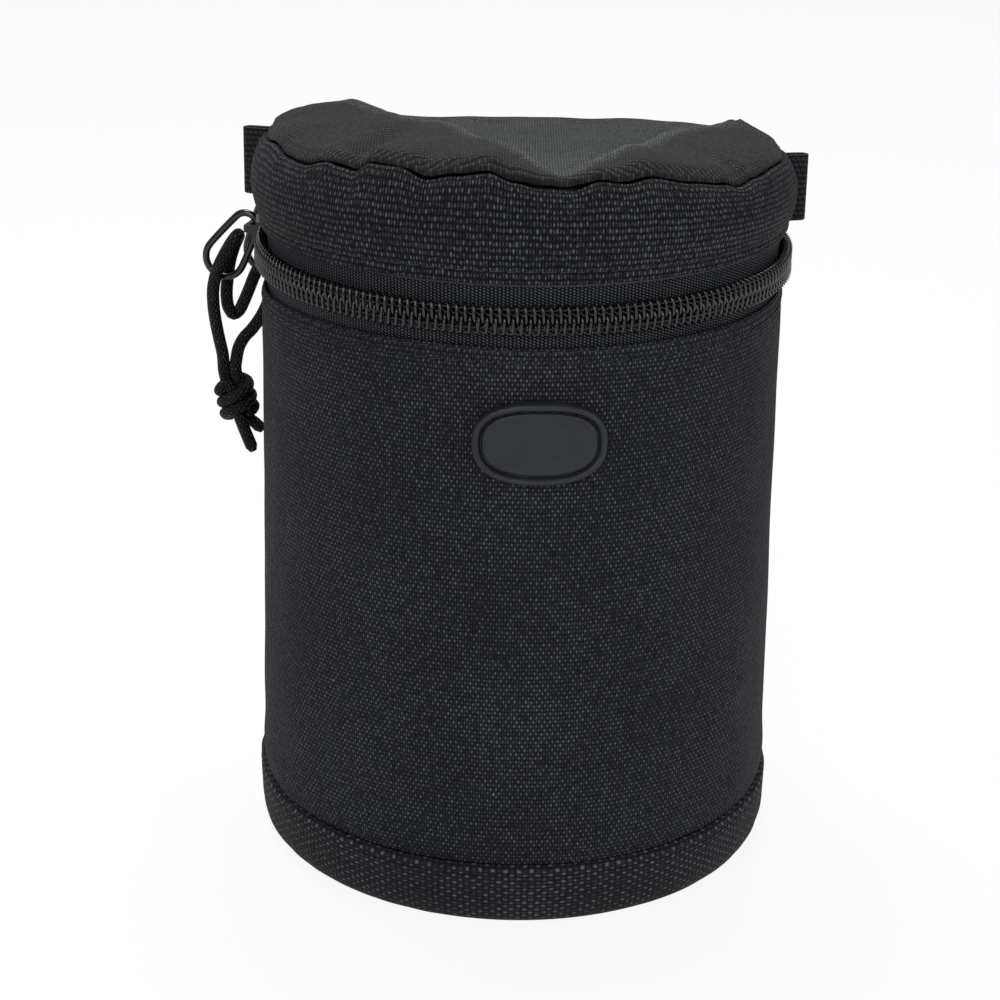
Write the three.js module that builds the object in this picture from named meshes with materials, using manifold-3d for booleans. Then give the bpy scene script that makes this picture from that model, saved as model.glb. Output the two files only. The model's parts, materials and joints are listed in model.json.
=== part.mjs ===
// Padded lens pouch with a zipped lid: a flat-backed round tube of fabric, foam and lining,
// a base band, a soft lid, an exposed coil zip with two sliders, wire pulls and a knotted cord.
// Millimetres, +Z up. The origin is the middle of the base; the pouch's front faces -Y.
import * as THREE from 'three';
import { mergeVertices } from 'three/addons/utils/BufferGeometryUtils.js';
import Module from 'manifold-3d';

const wasm = await Module();
wasm.setup();

// ---- Driving dimensions (mm) ----
const planRadius = 57.5;        // the round front of the plan, at the coil's outer face
const backFlat = 44;            // the middle of the plan to its flat back
const cornerRadius = 22;        // where the round front turns into the flat back
const zipHeight = 134;          // the floor to the middle of the zip
const clearance = 0.3;          // between pieces that touch

const fabricThickness = 0.6;
const liningThickness = 0.8;
const paddingDepth = 7.9;       // the plan's edge to the padding's inner face

// Base and band
const baseThickness = 1;
const baseEdgeRound = 1.1;
const baseEdgeHeight = 0.5;
const baseFoamThickness = 6;
const bandTop = 14.2;
const bandThickness = 0.9;
const bandFootDraw = 1;         // the band's foot is drawn in by this
const bandProud = 0.2;          // the band stands out from the wall above it

// Body wall
const bodyTaper = 1.5;          // the wall's foot is wider than its mouth by this, all round
const bodyMidShare = 0.53;      // of that taper, at the middle height
const bodyMidHeight = 60;
const bodyReveal = 1.1;         // the wall's edge below the lining's mouth
const mouthGap = 0.4;           // the sliders' path to the lining's mouth
const mouthLipThickness = 0.5;

// Lid
const lidReveal = 2.3;          // the lid wall's edge above the lid lining's mouth
const lidHeight = 17.1;         // that edge to the crown's seam
const lidBulge = 1.5;
const lidBulgeShare = 0.386;    // of the lid's height, where its wall bulges most
const lidSeamDraw = 3.2;        // the seam is drawn in from the lid wall's edge
const lidFrontRise = 5;         // the lid's seam stands this much higher in front
const lidBackDrop = 3;          // this much lower at the back
const lidSideTilt = 1;          // and this much higher on the left than in the middle
const crownHeight = 2.2;        // the crown's ring-shaped puff above the seam
const crownDent = 2.4;          // the middle of the crown below its puff
const lidFoamThickness = 4.6;

// Zip
const toothPitch = 1.7;
const coilThickness = 2.2;
const chainHalfWidth = 3.1;
const spineWidth = 0.7;
const toothOverlap = 0.45;      // the tips pass the zip's middle by this
const toothRootShare = 0.65;    // of the pitch
const toothTipShare = 0.26;     // of the pitch
const zipEndInset = 3.3;        // degrees from each end of the chain to the back's corner
const tapeThickness = 0.6;
const tapeWidth = 11;
const tapeEdge = 1.2;           // the zip's middle to each tape's edge
const tapeOverrunAngle = 2;     // the tapes run on past the chain
const endTabAngle = 2.2;
const endTabDrop = 3.9;         // the tabs reach this far below the zip's middle
const endTabThickness = 2.4;

// Slider
const sliderLength = 10;
const sliderRunning = 0.2;      // between a slider's flanges and the chain
const sliderFlange = 0.6;
const sliderNoseFlare = 0.3;
const sliderPlate = 1.2;
const sliderPostLength = 2.8;
const sliderPostHalfWidth = 0.85;
const sliderPostInset = 0.4;
const crownBridgeLength = 6.6;
const crownBridgeWidth = 1.5;
const crownBridgeThickness = 1.1;
const crownLegLength = 1.3;
const rearSliderInset = 11;     // degrees from the chain's left end to the rear slider
const sliderGap = 1.54;         // along the chain, between the two parked sliders

// Pull rings
const wireDiameter = 1.6;
const ringLength = 18;
const ringWidth = 10.4;         // at its lower end
const ringNeckWidth = 7.2;      // at its upper end
const frontRingDroop = 57;      // degrees below the horizontal, held out by its cord
const rearRingDroop = 80;       // hanging

// Webbing
const loopAngle = 102;
const loopHeight = 15;
const loopReach = 5.3;
const webbingThickness = 1.2;
const loopGap = 0.8;
const beltLoopWidth = 30;
const beltLoopLength = 70;
const beltLoopDrop = 14.3;      // its top below the body wall's edge
const beltLoopGap = 5.2;
const beltLoopFoot = 9;

// Patch
const patchWidth = 26.5;
const patchHeight = 17;
const patchRimWidth = 1.85;
const patchThickness = 1;
const patchRimRise = 0.7;
const patchFaceInset = 1.2;
const patchDrop = 19.3;         // its middle below the body wall's edge
const patchOffset = 4.2;

// Cord
const cordDiameter = 2.5;
const knotHeight = 12;
const knotWidth = 9.4;

// ---- Facet counts ----
const frontSteps = 32;
const cornerSteps = 4;
const backSteps = 2;
const cordSides = 8;

// ---- Materials ----
const looks = (color, roughness, metalness = 0) => new THREE.MeshStandardMaterial({ color, roughness, metalness });
const bodyFabric = looks(0x26282c, 0.85);
const lidFabric = looks(0x2a2c30, 0.85);
const crownFabric = looks(0x404444, 0.85);
const ballistic = looks(0x29292d, 0.8);
const padding = looks(0x3a3a3c, 0.95);
const liningFabric = looks(0x55585c, 0.9);
const tapeFabric = looks(0x1f2126, 0.9);
const coilPlastic = looks(0x3a3c40, 0.4);
const blackPaint = looks(0x1a1b1d, 0.4, 0.6);
const ringSteel = looks(0x2a2c2e, 0.3, 0.9);
const cordFabric = looks(0x16171a, 0.85);
const webbing = looks(0x2b2e32, 0.85);
const rubber = looks(0x323539, 0.6);

// ---- Helpers ----
const rad = THREE.MathUtils.degToRad;
const part = new THREE.Group();

function piece(name, geometry, material, parent = part) {
  const mesh = new THREE.Mesh(geometry, material);
  mesh.name = name;
  parent.add(mesh);
  return mesh;
}

function bufferOf(points, faces) {
  const g = new THREE.BufferGeometry();
  g.setAttribute('position', new THREE.Float32BufferAttribute(points.flat(), 3));
  g.setIndex(faces.flat());
  g.computeVertexNormals();
  return g;
}

function toManifold(geometry) {
  const g = geometry.clone();
  g.deleteAttribute('normal');
  g.deleteAttribute('uv');
  const m = mergeVertices(g, 1e-4);
  return new wasm.Manifold(new wasm.Mesh({
    numProp: 3,
    vertProperties: new Float32Array(m.attributes.position.array),
    triVerts: new Uint32Array(m.index.array),
  }));
}

function fromManifold(solid) {
  const mesh = solid.getMesh();
  const g = new THREE.BufferGeometry();
  g.setAttribute('position', new THREE.Float32BufferAttribute(Array.from(mesh.vertProperties), 3));
  g.setIndex(Array.from(mesh.triVerts));
  g.computeVertexNormals();
  return g;
}

// ---- Sizes that follow from the driving ones ----
const sliderTailHalfWidth = chainHalfWidth + sliderRunning + sliderFlange;
const sliderNoseHalfWidth = sliderTailHalfWidth + sliderNoseFlare;
const mouthDrop = sliderNoseHalfWidth + mouthGap;
const bodyTopRadius = planRadius - coilThickness + fabricThickness;
const bodyLowRadius = bodyTopRadius + bodyTaper;
const bodyMidRadius = bodyTopRadius + bodyTaper * bodyMidShare;
const bodyTop = zipHeight - mouthDrop - bodyReveal;
const bandTopRadius = bodyLowRadius + bandProud;
const bandFootRadius = bandTopRadius - bandFootDraw;
const baseEdgeRadius = bandFootRadius - clearance;
const baseSoleRadius = baseEdgeRadius - baseEdgeRound;
const foamInnerRadius = planRadius - paddingDepth;
const lidBottom = zipHeight + mouthDrop + lidReveal;
const lidBottomRadius = bodyTopRadius + fabricThickness;
const lidBulgeRadius = lidBottomRadius + lidBulge;
const lidBulgeHeight = lidBottom + lidHeight * lidBulgeShare;
const lidSeamRadius = lidBottomRadius - lidSeamDraw;
const lidSeam = lidBottom + lidHeight;
const patchCentre = bodyTop - patchDrop;
const beltLoopTop = bodyTop - beltLoopDrop;
const beltLoopBottom = beltLoopTop - beltLoopLength;

// The plan: unit directions and offsets of a round front that runs into a flat back.
const cornerY = backFlat - cornerRadius;
const cornerX = Math.sqrt((planRadius - cornerRadius) ** 2 - cornerY ** 2);
const frontHalfAngle = Math.PI / 2 + Math.atan2(cornerY, cornerX);
const deepestOffset = cornerRadius * 0.6;
const zipEndAngle = THREE.MathUtils.radToDeg(frontHalfAngle) - zipEndInset;
const rearSliderAngle = rearSliderInset - zipEndAngle;
const frontSliderAngle = rearSliderAngle + ((sliderLength + sliderGap) / planRadius) * (180 / Math.PI);

function offsetPlan(offset) {
  const points = [];
  const radius = planRadius - offset;
  const corner = cornerRadius - offset;
  for (let i = 0; i < frontSteps; i++) {
    const a = -frontHalfAngle + (2 * frontHalfAngle * i) / frontSteps;
    points.push([radius * Math.sin(a), -radius * Math.cos(a)]);
  }
  for (let i = 0; i < cornerSteps; i++) {
    const a = frontHalfAngle + ((Math.PI - frontHalfAngle) * i) / cornerSteps;
    points.push([cornerX + corner * Math.sin(a), cornerY - corner * Math.cos(a)]);
  }
  for (let i = 0; i < backSteps; i++) {
    points.push([cornerX * (1 - (2 * i) / backSteps), backFlat - offset]);
  }
  for (let i = 0; i < cornerSteps; i++) {
    const a = Math.PI + ((Math.PI - frontHalfAngle) * i) / cornerSteps;
    points.push([-cornerX + corner * Math.sin(a), cornerY - corner * Math.cos(a)]);
  }
  return points;
}

// A ring of the plan at a radius; deep inside, the plan only shrinks.
function planRing(radius) {
  const offset = planRadius - radius;
  if (offset <= deepestOffset) return offsetPlan(offset);
  const scale = radius / (planRadius - deepestOffset);
  return offsetPlan(deepestOffset).map(([x, y]) => [x * scale, y * scale]);
}

// The lid's heights above its lower edge grow towards the front and shrink towards the back.
function lidRise(x, y, z) {
  if (z <= lidBottom) return z;
  const front = -y / planRadius;
  const along = front > 0 ? front * front * lidFrontRise : front * lidBackDrop;
  const change = along - (x / planRadius) * lidSideTilt;
  return z + (change * (z - lidBottom)) / (lidSeam - lidBottom);
}

// A closed wall or plate: its section is a list of [radius, height], counter-clockwise when
// drawn with the radius to the right. A section that starts and ends at radius 0 is a plate.
function shell(section, heightAt = (x, y, z) => z) {
  const points = [];
  const faces = [];
  const rings = [];
  for (const [radius, z] of section) {
    if (radius === 0) {
      rings.push([points.length]);
      points.push([0, 0, heightAt(0, 0, z)]);
      continue;
    }
    const ring = planRing(radius);
    rings.push(ring.map((_, i) => points.length + i));
    points.push(...ring.map(([x, y]) => [x, y, heightAt(x, y, z)]));
  }
  const plate = section[0][0] === 0;
  const last = plate ? rings.length - 1 : rings.length;
  for (let k = 0; k < last; k++) {
    const low = rings[k];
    const high = rings[(k + 1) % rings.length];
    const count = Math.max(low.length, high.length);
    for (let i = 0; i < count; i++) {
      const j = (i + 1) % count;
      if (low.length > 1) faces.push([low[i], low[j], high[high.length > 1 ? j : 0]]);
      if (high.length > 1) faces.push([low[low.length > 1 ? i : 0], high[j], high[i]]);
    }
  }
  return bufferOf(points, faces);
}

// A point at an angle from the front, a radius and a height.
const around = (angle, radius, z) => [radius * Math.sin(angle), -radius * Math.cos(angle), z];

// A strip that follows the round front between two angles; its section is a rectangle.
function strip(from, to, inner, outer, bottom, top, steps) {
  const points = [];
  const faces = [];
  for (let i = 0; i <= steps; i++) {
    const a = from + ((to - from) * i) / steps;
    points.push(around(a, inner, bottom), around(a, outer, bottom), around(a, outer, top), around(a, inner, top));
  }
  for (let i = 0; i < steps; i++) {
    for (let k = 0; k < 4; k++) {
      const p = 4 * i + k;
      const q = 4 * i + ((k + 1) % 4);
      faces.push([p, p + 4, q + 4], [p, q + 4, q]);
    }
  }
  const end = 4 * steps;
  faces.push([0, 1, 2], [0, 2, 3], [end, end + 2, end + 1], [end, end + 3, end + 2]);
  return bufferOf(points, faces);
}

// ---- Body ----
const foamTop = zipHeight - mouthDrop - mouthLipThickness - clearance;
const liningOuter = foamInnerRadius - clearance;
const liningInner = liningOuter - liningThickness;
const tapeOuter = planRadius - coilThickness - clearance;
const tapeInner = tapeOuter - tapeThickness;
const foamMouthRadius = tapeInner - clearance;
const lowerTapeBottom = zipHeight - tapeEdge - tapeWidth;
const bodyBottom = bandTop + clearance;
const foamFit = fabricThickness + clearance;

piece('base_panel', shell([
  [0, 0],
  [baseSoleRadius, 0],
  [baseEdgeRadius - clearance, baseEdgeHeight],
  [baseEdgeRadius, baseThickness],
  [0, baseThickness],
]), ballistic);

const bandFoot = baseThickness + clearance;
const bandRoundHeight = bandFoot + 2 * bandThickness;
const bandRoundRadius = bandFootRadius + (bandTopRadius - bandFootRadius) * 0.6;
piece('base_band', shell([
  [bandFootRadius - bandThickness, bandFoot],
  [bandFootRadius, bandFoot],
  [bandRoundRadius, bandRoundHeight],
  [bandTopRadius, bandTop / 2],
  [bandTopRadius, bandTop],
  [bandTopRadius - bandThickness, bandTop],
  [bandTopRadius - bandThickness, bandTop / 2],
  [bandRoundRadius - bandThickness, bandRoundHeight],
]), ballistic);

piece('body_outer_fabric', shell([
  [bodyLowRadius - fabricThickness, bodyBottom],
  [bodyLowRadius, bodyBottom],
  [bodyMidRadius, bodyMidHeight],
  [bodyTopRadius, bodyTop],
  [bodyTopRadius - fabricThickness, bodyTop],
  [bodyMidRadius - fabricThickness, bodyMidHeight],
]), bodyFabric);

// The body wall's outer radius at a height.
function bodyWallRadius(z) {
  const low = z < bodyMidHeight;
  const [from, to] = low ? [bodyBottom, bodyMidHeight] : [bodyMidHeight, bodyTop];
  const [fromRadius, toRadius] = low ? [bodyLowRadius, bodyMidRadius] : [bodyMidRadius, bodyTopRadius];
  return fromRadius + ((toRadius - fromRadius) * (z - from)) / (to - from);
}

const foamShoulder = lowerTapeBottom - clearance;
const bodyShoulderShare = (foamShoulder - bodyMidHeight) / (bodyTop - bodyMidHeight);
const bodyShoulderRadius = bodyMidRadius + (bodyTopRadius - bodyMidRadius) * bodyShoulderShare;
piece('body_foam', shell([
  [foamInnerRadius, bandFoot],
  [bandFootRadius - bandThickness - clearance, bandFoot],
  [bandRoundRadius - bandThickness - clearance, bandRoundHeight],
  [Math.min(bandTopRadius - bandThickness, bodyLowRadius - fabricThickness) - clearance, bandTop],
  [bodyMidRadius - foamFit, bodyMidHeight],
  [bodyShoulderRadius - foamFit, foamShoulder - fabricThickness],
  [foamMouthRadius, foamShoulder],
  [foamMouthRadius, foamTop],
  [foamInnerRadius, foamTop],
]), padding);

const baseFoamTop = bandFoot + baseFoamThickness;
piece('base_foam', shell([
  [0, bandFoot],
  [foamInnerRadius - clearance, bandFoot],
  [foamInnerRadius - clearance, baseFoamTop],
  [0, baseFoamTop],
]), padding);

const floorBottom = baseFoamTop + clearance;
piece('body_lining', shell([
  [liningInner, floorBottom],
  [liningOuter, floorBottom],
  [liningOuter, foamTop + clearance],
  [foamMouthRadius, foamTop + clearance],
  [foamMouthRadius, foamTop + clearance + mouthLipThickness],
  [liningInner, foamTop + clearance + mouthLipThickness],
]), liningFabric);

piece('base_lining', shell([
  [0, floorBottom],
  [liningInner - clearance, floorBottom],
  [liningInner - clearance, floorBottom + liningThickness],
  [0, floorBottom + liningThickness],
]), liningFabric);

// ---- Lid ----
const lidMouth = zipHeight + mouthDrop;
const lidFoamBottom = lidMouth + mouthLipThickness + clearance;
const upperTapeTop = zipHeight + tapeEdge + tapeWidth;
const seamDrop = fabricThickness + clearance;
const lidFoamTop = lidSeam - lidFoamThickness - 2 * clearance;
const ceilingTop = lidFoamTop - clearance;
const ceilingBottom = ceilingTop - liningThickness;
const lidTopFoamBottom = lidFoamTop;
// The lid's wall: shares of the way from its bulge up to its seam, and of the radius lost there.
const wallRiseShares = [0, 0.35, 0.7, 1];
const wallDrawShares = [0, 0.12, 0.5, 1];
const lidWallOuter = [
  [lidBottomRadius, lidBottom],
  ...wallRiseShares.map((share, i) => [
    lidBulgeRadius - (lidBulgeRadius - lidSeamRadius) * wallDrawShares[i],
    lidBulgeHeight + (lidSeam - lidBulgeHeight) * share,
  ]),
];
const lidWallInner = lidWallOuter.map(([r, z]) => [r - fabricThickness, z]);
piece('lid_wall_fabric', shell([lidWallInner[0], ...lidWallOuter, ...lidWallInner.slice(1).reverse()], lidRise), lidFabric);

// The crown: shares of the seam's radius and of the puff's height.
const crownRadiusShares = [0.95, 0.8, 0.5, 0.22];
const crownHeightShares = [0.5, 1, 0.9, 0.65];
const crownRim = lidSeam + clearance;
const crownTop = [
  [lidSeamRadius, crownRim + fabricThickness],
  ...crownRadiusShares.map((share, i) => [lidSeamRadius * share, crownRim + fabricThickness + crownHeight * crownHeightShares[i]]),
  [0, crownRim + fabricThickness + crownHeight - crownDent],
];
const crownUnder = crownTop.map(([r, z]) => [r, z - fabricThickness]);
piece('lid_top_fabric', shell([...crownUnder.reverse(), ...crownTop], lidRise), crownFabric);

const shoulderDrop = ((lidBackDrop + lidSideTilt) * (upperTapeTop - lidBottom)) / (lidSeam - lidBottom);
const lidFoamShoulder = upperTapeTop + clearance + shoulderDrop;
piece('lid_wall_foam', shell([
  [foamInnerRadius, lidFoamBottom],
  [foamMouthRadius, lidFoamBottom],
  [foamMouthRadius, lidFoamShoulder],
  [lidBulgeRadius - foamFit - fabricThickness, lidFoamShoulder + foamFit],
  [lidBulgeRadius - (lidBulgeRadius - lidSeamRadius) * wallDrawShares[1] - foamFit - fabricThickness, ceilingTop - clearance],
  [foamInnerRadius, ceilingTop - clearance],
], lidRise), padding);

piece('lid_top_foam', shell([
  [0, lidTopFoamBottom],
  [lidSeamRadius - 2 * foamFit, lidTopFoamBottom],
  [lidSeamRadius - 2 * foamFit, lidSeam - clearance],
  [0, lidSeam - clearance],
], lidRise), padding);

piece('lid_wall_lining', shell([
  [liningInner, lidMouth],
  [foamMouthRadius, lidMouth],
  [foamMouthRadius, lidMouth + mouthLipThickness],
  [liningOuter, lidMouth + mouthLipThickness],
  [liningOuter, ceilingBottom - clearance],
  [liningInner, ceilingBottom - clearance],
], lidRise), liningFabric);

piece('lid_top_lining', shell([
  [0, ceilingBottom],
  [liningOuter, ceilingBottom],
  [liningOuter, ceilingTop],
  [0, ceilingTop],
], lidRise), liningFabric);

// ---- Zip tapes and the hinge panel between their ends ----
const tapeEnd = rad(zipEndAngle + tapeOverrunAngle);
const tapeSteps = 48;
piece('lower_zip_tape', strip(-tapeEnd, tapeEnd, tapeInner, tapeOuter,
  lowerTapeBottom, zipHeight - tapeEdge, tapeSteps), tapeFabric);
piece('upper_zip_tape', strip(-tapeEnd, tapeEnd, tapeInner, tapeOuter,
  zipHeight + tapeEdge, upperTapeTop, tapeSteps), tapeFabric);

// The panel runs round the flat back at the tapes' radius, from one tape's end to the other's.
function backStrip(inner, outer, bottom, top, startAngle, steps) {
  const line = [];
  const arcEnd = frontHalfAngle;
  line.push({ c: [0, 0], add: 0, a: startAngle });
  for (let i = 0; i <= steps; i++) {
    line.push({ c: [cornerX, cornerY], add: planRadius - cornerRadius, a: arcEnd + ((Math.PI - arcEnd) * i) / steps });
  }
  const half = line.map(({ c, add, a }) => [inner, outer].map((r) => {
    const radius = add ? r - add : r;
    return [c[0] + radius * Math.sin(a), c[1] - radius * Math.cos(a)];
  }));
  const whole = [...half, ...half.slice().reverse().map((pair) => pair.map(([x, y]) => [-x, y]))];
  const points = [];
  const faces = [];
  for (const [i, o] of whole) points.push([...i, bottom], [...o, bottom], [...o, top], [...i, top]);
  for (let i = 0; i < whole.length - 1; i++) {
    for (let k = 0; k < 4; k++) {
      const p = 4 * i + k;
      const q = 4 * i + ((k + 1) % 4);
      faces.push([p, p + 4, q + 4], [p, q + 4, q]);
    }
  }
  const end = 4 * (whole.length - 1);
  faces.push([0, 1, 2], [0, 2, 3], [end, end + 2, end + 1], [end, end + 3, end + 2]);
  return bufferOf(points, faces);
}
const panelStart = tapeEnd + clearance / tapeInner;
piece('hinge_panel', backStrip(tapeInner, tapeOuter, lowerTapeBottom, upperTapeTop, panelStart, cornerSteps), bodyFabric);

// ---- Coil rows: combs of tapered teeth on a spine, pushed apart at the sliders' posts ----
const coilInner = planRadius - coilThickness;
const toothRootHalf = (toothPitch * toothRootShare) / 2;
const toothTipHalf = (toothPitch * toothTipShare) / 2;
const postMiddle = sliderLength / 2 - sliderPostInset - sliderPostLength / 2;
const postReach = sliderPostLength / 2 + clearance + toothTipHalf;
const postPlaces = [frontSliderAngle, rearSliderAngle].map((a) => rad(a) * planRadius);
// The front slider's nose points forwards along the chain and the rear one's the other way.
const postCentres = [postPlaces[0] + postMiddle, postPlaces[1] - postMiddle];

function coilRow(side, shift) {
  const halfLength = rad(zipEndAngle) * planRadius;
  const count = Math.floor((2 * halfLength) / toothPitch) - 1;
  const start = -(count * toothPitch) / 2 + shift;
  const root = chainHalfWidth - spineWidth;
  const cell = [];
  for (let i = 0; i < count; i++) {
    const s = start + (i + 0.5) * toothPitch;
    const parted = postCentres.some((c) => Math.abs(s - c) < postReach);
    const tip = parted ? tapeEdge : -toothOverlap;
    cell.push([s - toothPitch / 2, chainHalfWidth, 'back'], [s - toothRootHalf, root, 'root'],
      [s - toothTipHalf, tip, 'tip'], [s + toothTipHalf, tip, 'tip'], [s + toothRootHalf, root, 'root']);
  }
  const endS = start + count * toothPitch;
  const firstS = start;
  const flat = [...cell.map(([s, v]) => [s, v]), [endS, chainHalfWidth], [endS, root], [firstS, root]];
  const n = flat.length;
  const points = [];
  for (const radius of [coilInner, planRadius]) {
    for (const [s, v] of flat) points.push(around(s / planRadius, radius, zipHeight + side * v));
  }
  const faces = [];
  const quadCap = (a, b, c) => faces.push([a, b, c], [a + n, c + n, b + n]);
  const wall = (a, b) => faces.push([a, b, b + n], [a, b + n, a + n]);
  for (let i = 0; i < count; i++) {
    const [back, rootL, tipL, tipR, rootR] = [5 * i, 5 * i + 1, 5 * i + 2, 5 * i + 3, 5 * i + 4];
    const nextBack = i + 1 < count ? 5 * (i + 1) : n - 3;
    const nextRoot = i + 1 < count ? 5 * (i + 1) + 1 : n - 2;
    quadCap(rootL, rootR, tipR);
    quadCap(rootL, tipR, tipL);
    quadCap(back, rootR, rootL);
    quadCap(back, nextBack, rootR);
    if (i + 1 < count) quadCap(nextBack, nextRoot, rootR);
    else quadCap(nextBack, nextRoot, rootR);
    wall(rootL, tipL);
    wall(tipL, tipR);
    wall(tipR, rootR);
    wall(rootR, nextRoot);
    wall(nextBack, back);
  }
  quadCap(0, 1, n - 1);
  wall(n - 1, 1);
  wall(0, n - 1);
  wall(n - 2, n - 3);
  if (side < 0) faces.forEach((f) => f.reverse());
  return bufferOf(points, faces);
}
piece('lower_coil', coilRow(-1, 0), coilPlastic);
piece('upper_coil', coilRow(1, toothPitch / 2), coilPlastic);

// ---- Tabs that close the chain's two ends ----
const tabGap = clearance / planRadius;
for (const [name, side] of [['zip_end_tab_left', -1], ['zip_end_tab_right', 1]]) {
  const near = rad(zipEndAngle) + toothPitch / planRadius + tabGap;
  const ends = [side * near, side * (near + rad(endTabAngle))].sort((a, b) => a - b);
  piece(name, strip(ends[0], ends[1], tapeOuter + clearance, tapeOuter + clearance + endTabThickness,
    zipHeight - endTabDrop, zipHeight + tapeEdge - clearance, 1), webbing);
}

// ---- Sliders ----
const plateOuterLow = planRadius + clearance;
const plateOuterHigh = plateOuterLow + sliderPlate;
const plateInnerHigh = foamMouthRadius - clearance / 3;
const plateInnerLow = plateInnerHigh - sliderPlate;
const lipRadius = coilInner + clearance / 6;
const bridgeLow = plateOuterHigh + wireDiameter + 2 * clearance + clearance / 3;
const bridgeHigh = bridgeLow + crownBridgeThickness;

// A prism: an outline in two axes, stretched along the third, all in the slider's flat frame:
// u along the chain, v up, w out from the pouch.
function prism(outline, from, to, axes) {
  const shape = new THREE.Shape(outline.map(([a, b]) => new THREE.Vector2(a, b)));
  const g = new THREE.ExtrudeGeometry(shape, { depth: to - from, bevelEnabled: false, steps: 1 });
  g.translate(0, 0, from);
  if (axes === 'uwv') {
    const p = g.attributes.position;
    for (let i = 0; i < p.count; i++) p.setXYZ(i, p.getX(i), -p.getZ(i), p.getY(i));
  }
  return toManifold(g);
}

function bendRound(geometry) {
  const p = geometry.attributes.position;
  for (let i = 0; i < p.count; i++) {
    p.setXYZ(i, ...around(p.getX(i) / planRadius, p.getZ(i), zipHeight + p.getY(i)));
  }
  geometry.computeVertexNormals();
  return geometry;
}

const halfLong = sliderLength / 2;
// The plate's outline: shares of its half length, and its half width along them.
const plateLengthShares = [-1, -0.8, 0, 0.6, 0.85, 1];
const plateWidthShares = [0.72, 1, 1, 1, 0.92, 0.5];
const plateHalfWidths = plateLengthShares.map((share, i) =>
  (sliderTailHalfWidth + (sliderNoseHalfWidth - sliderTailHalfWidth) * (share + 1) / 2) * plateWidthShares[i]);
const plateOutline = [
  ...plateLengthShares.map((share, i) => [share * halfLong, -plateHalfWidths[i]]),
  ...plateLengthShares.map((share, i) => [share * halfLong, plateHalfWidths[i]]).reverse(),
];

function sliderBody() {
  let solid = prism(plateOutline, plateOuterLow, plateOuterHigh, 'uvw');
  solid = solid.add(prism(plateOutline, plateInnerLow, plateInnerHigh, 'uvw'));
  for (const side of [-1, 1]) {
    const outerEdge = side * sliderTailHalfWidth;
    const innerEdge = side * (chainHalfWidth + sliderRunning);
    const lip = [
      [-halfLong * 0.8, innerEdge], [0, innerEdge], [halfLong * 0.6, innerEdge],
      [halfLong * 0.6, outerEdge], [0, outerEdge], [-halfLong * 0.8, outerEdge],
    ];
    solid = solid.add(prism(side > 0 ? lip : lip.reverse(), lipRadius, plateOuterLow + sliderPlate / 2, 'uvw'));
  }
  const postFrom = halfLong - sliderPostInset - sliderPostLength;
  const postTo = halfLong - sliderPostInset;
  const post = [[postFrom, 0], [(postFrom + postTo) / 2, -sliderPostHalfWidth],
    [postTo, 0], [(postFrom + postTo) / 2, sliderPostHalfWidth]];
  solid = solid.add(prism(post, plateInnerLow + sliderPlate / 2, plateOuterLow + sliderPlate / 2, 'uvw'));
  const halfBridge = crownBridgeLength / 2;
  const chamfer = crownBridgeThickness / 2;
  const arch = [
    [-halfBridge, plateOuterLow + sliderPlate / 2], [-halfBridge + crownLegLength, plateOuterLow + sliderPlate / 2],
    [-halfBridge + crownLegLength, bridgeLow], [halfBridge - crownLegLength, bridgeLow],
    [halfBridge - crownLegLength, plateOuterLow + sliderPlate / 2], [halfBridge, plateOuterLow + sliderPlate / 2],
    [halfBridge, bridgeHigh - chamfer], [halfBridge - chamfer, bridgeHigh],
    [-halfBridge + chamfer, bridgeHigh], [-halfBridge, bridgeHigh - chamfer],
  ];
  solid = solid.add(prism(arch, -crownBridgeWidth / 2, crownBridgeWidth / 2, 'uwv'));
  return solid;
}
const sliderGeometry = bendRound(fromManifold(sliderBody()));
const sliderFlipped = sliderGeometry.clone();
{
  const p = sliderFlipped.attributes.position;
  for (let i = 0; i < p.count; i++) p.setX(i, -p.getX(i));
  const index = sliderFlipped.index;
  for (let i = 0; i < index.count; i += 3) {
    const a = index.getX(i);
    index.setX(i, index.getX(i + 1));
    index.setX(i + 1, a);
  }
  sliderFlipped.computeVertexNormals();
}

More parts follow.
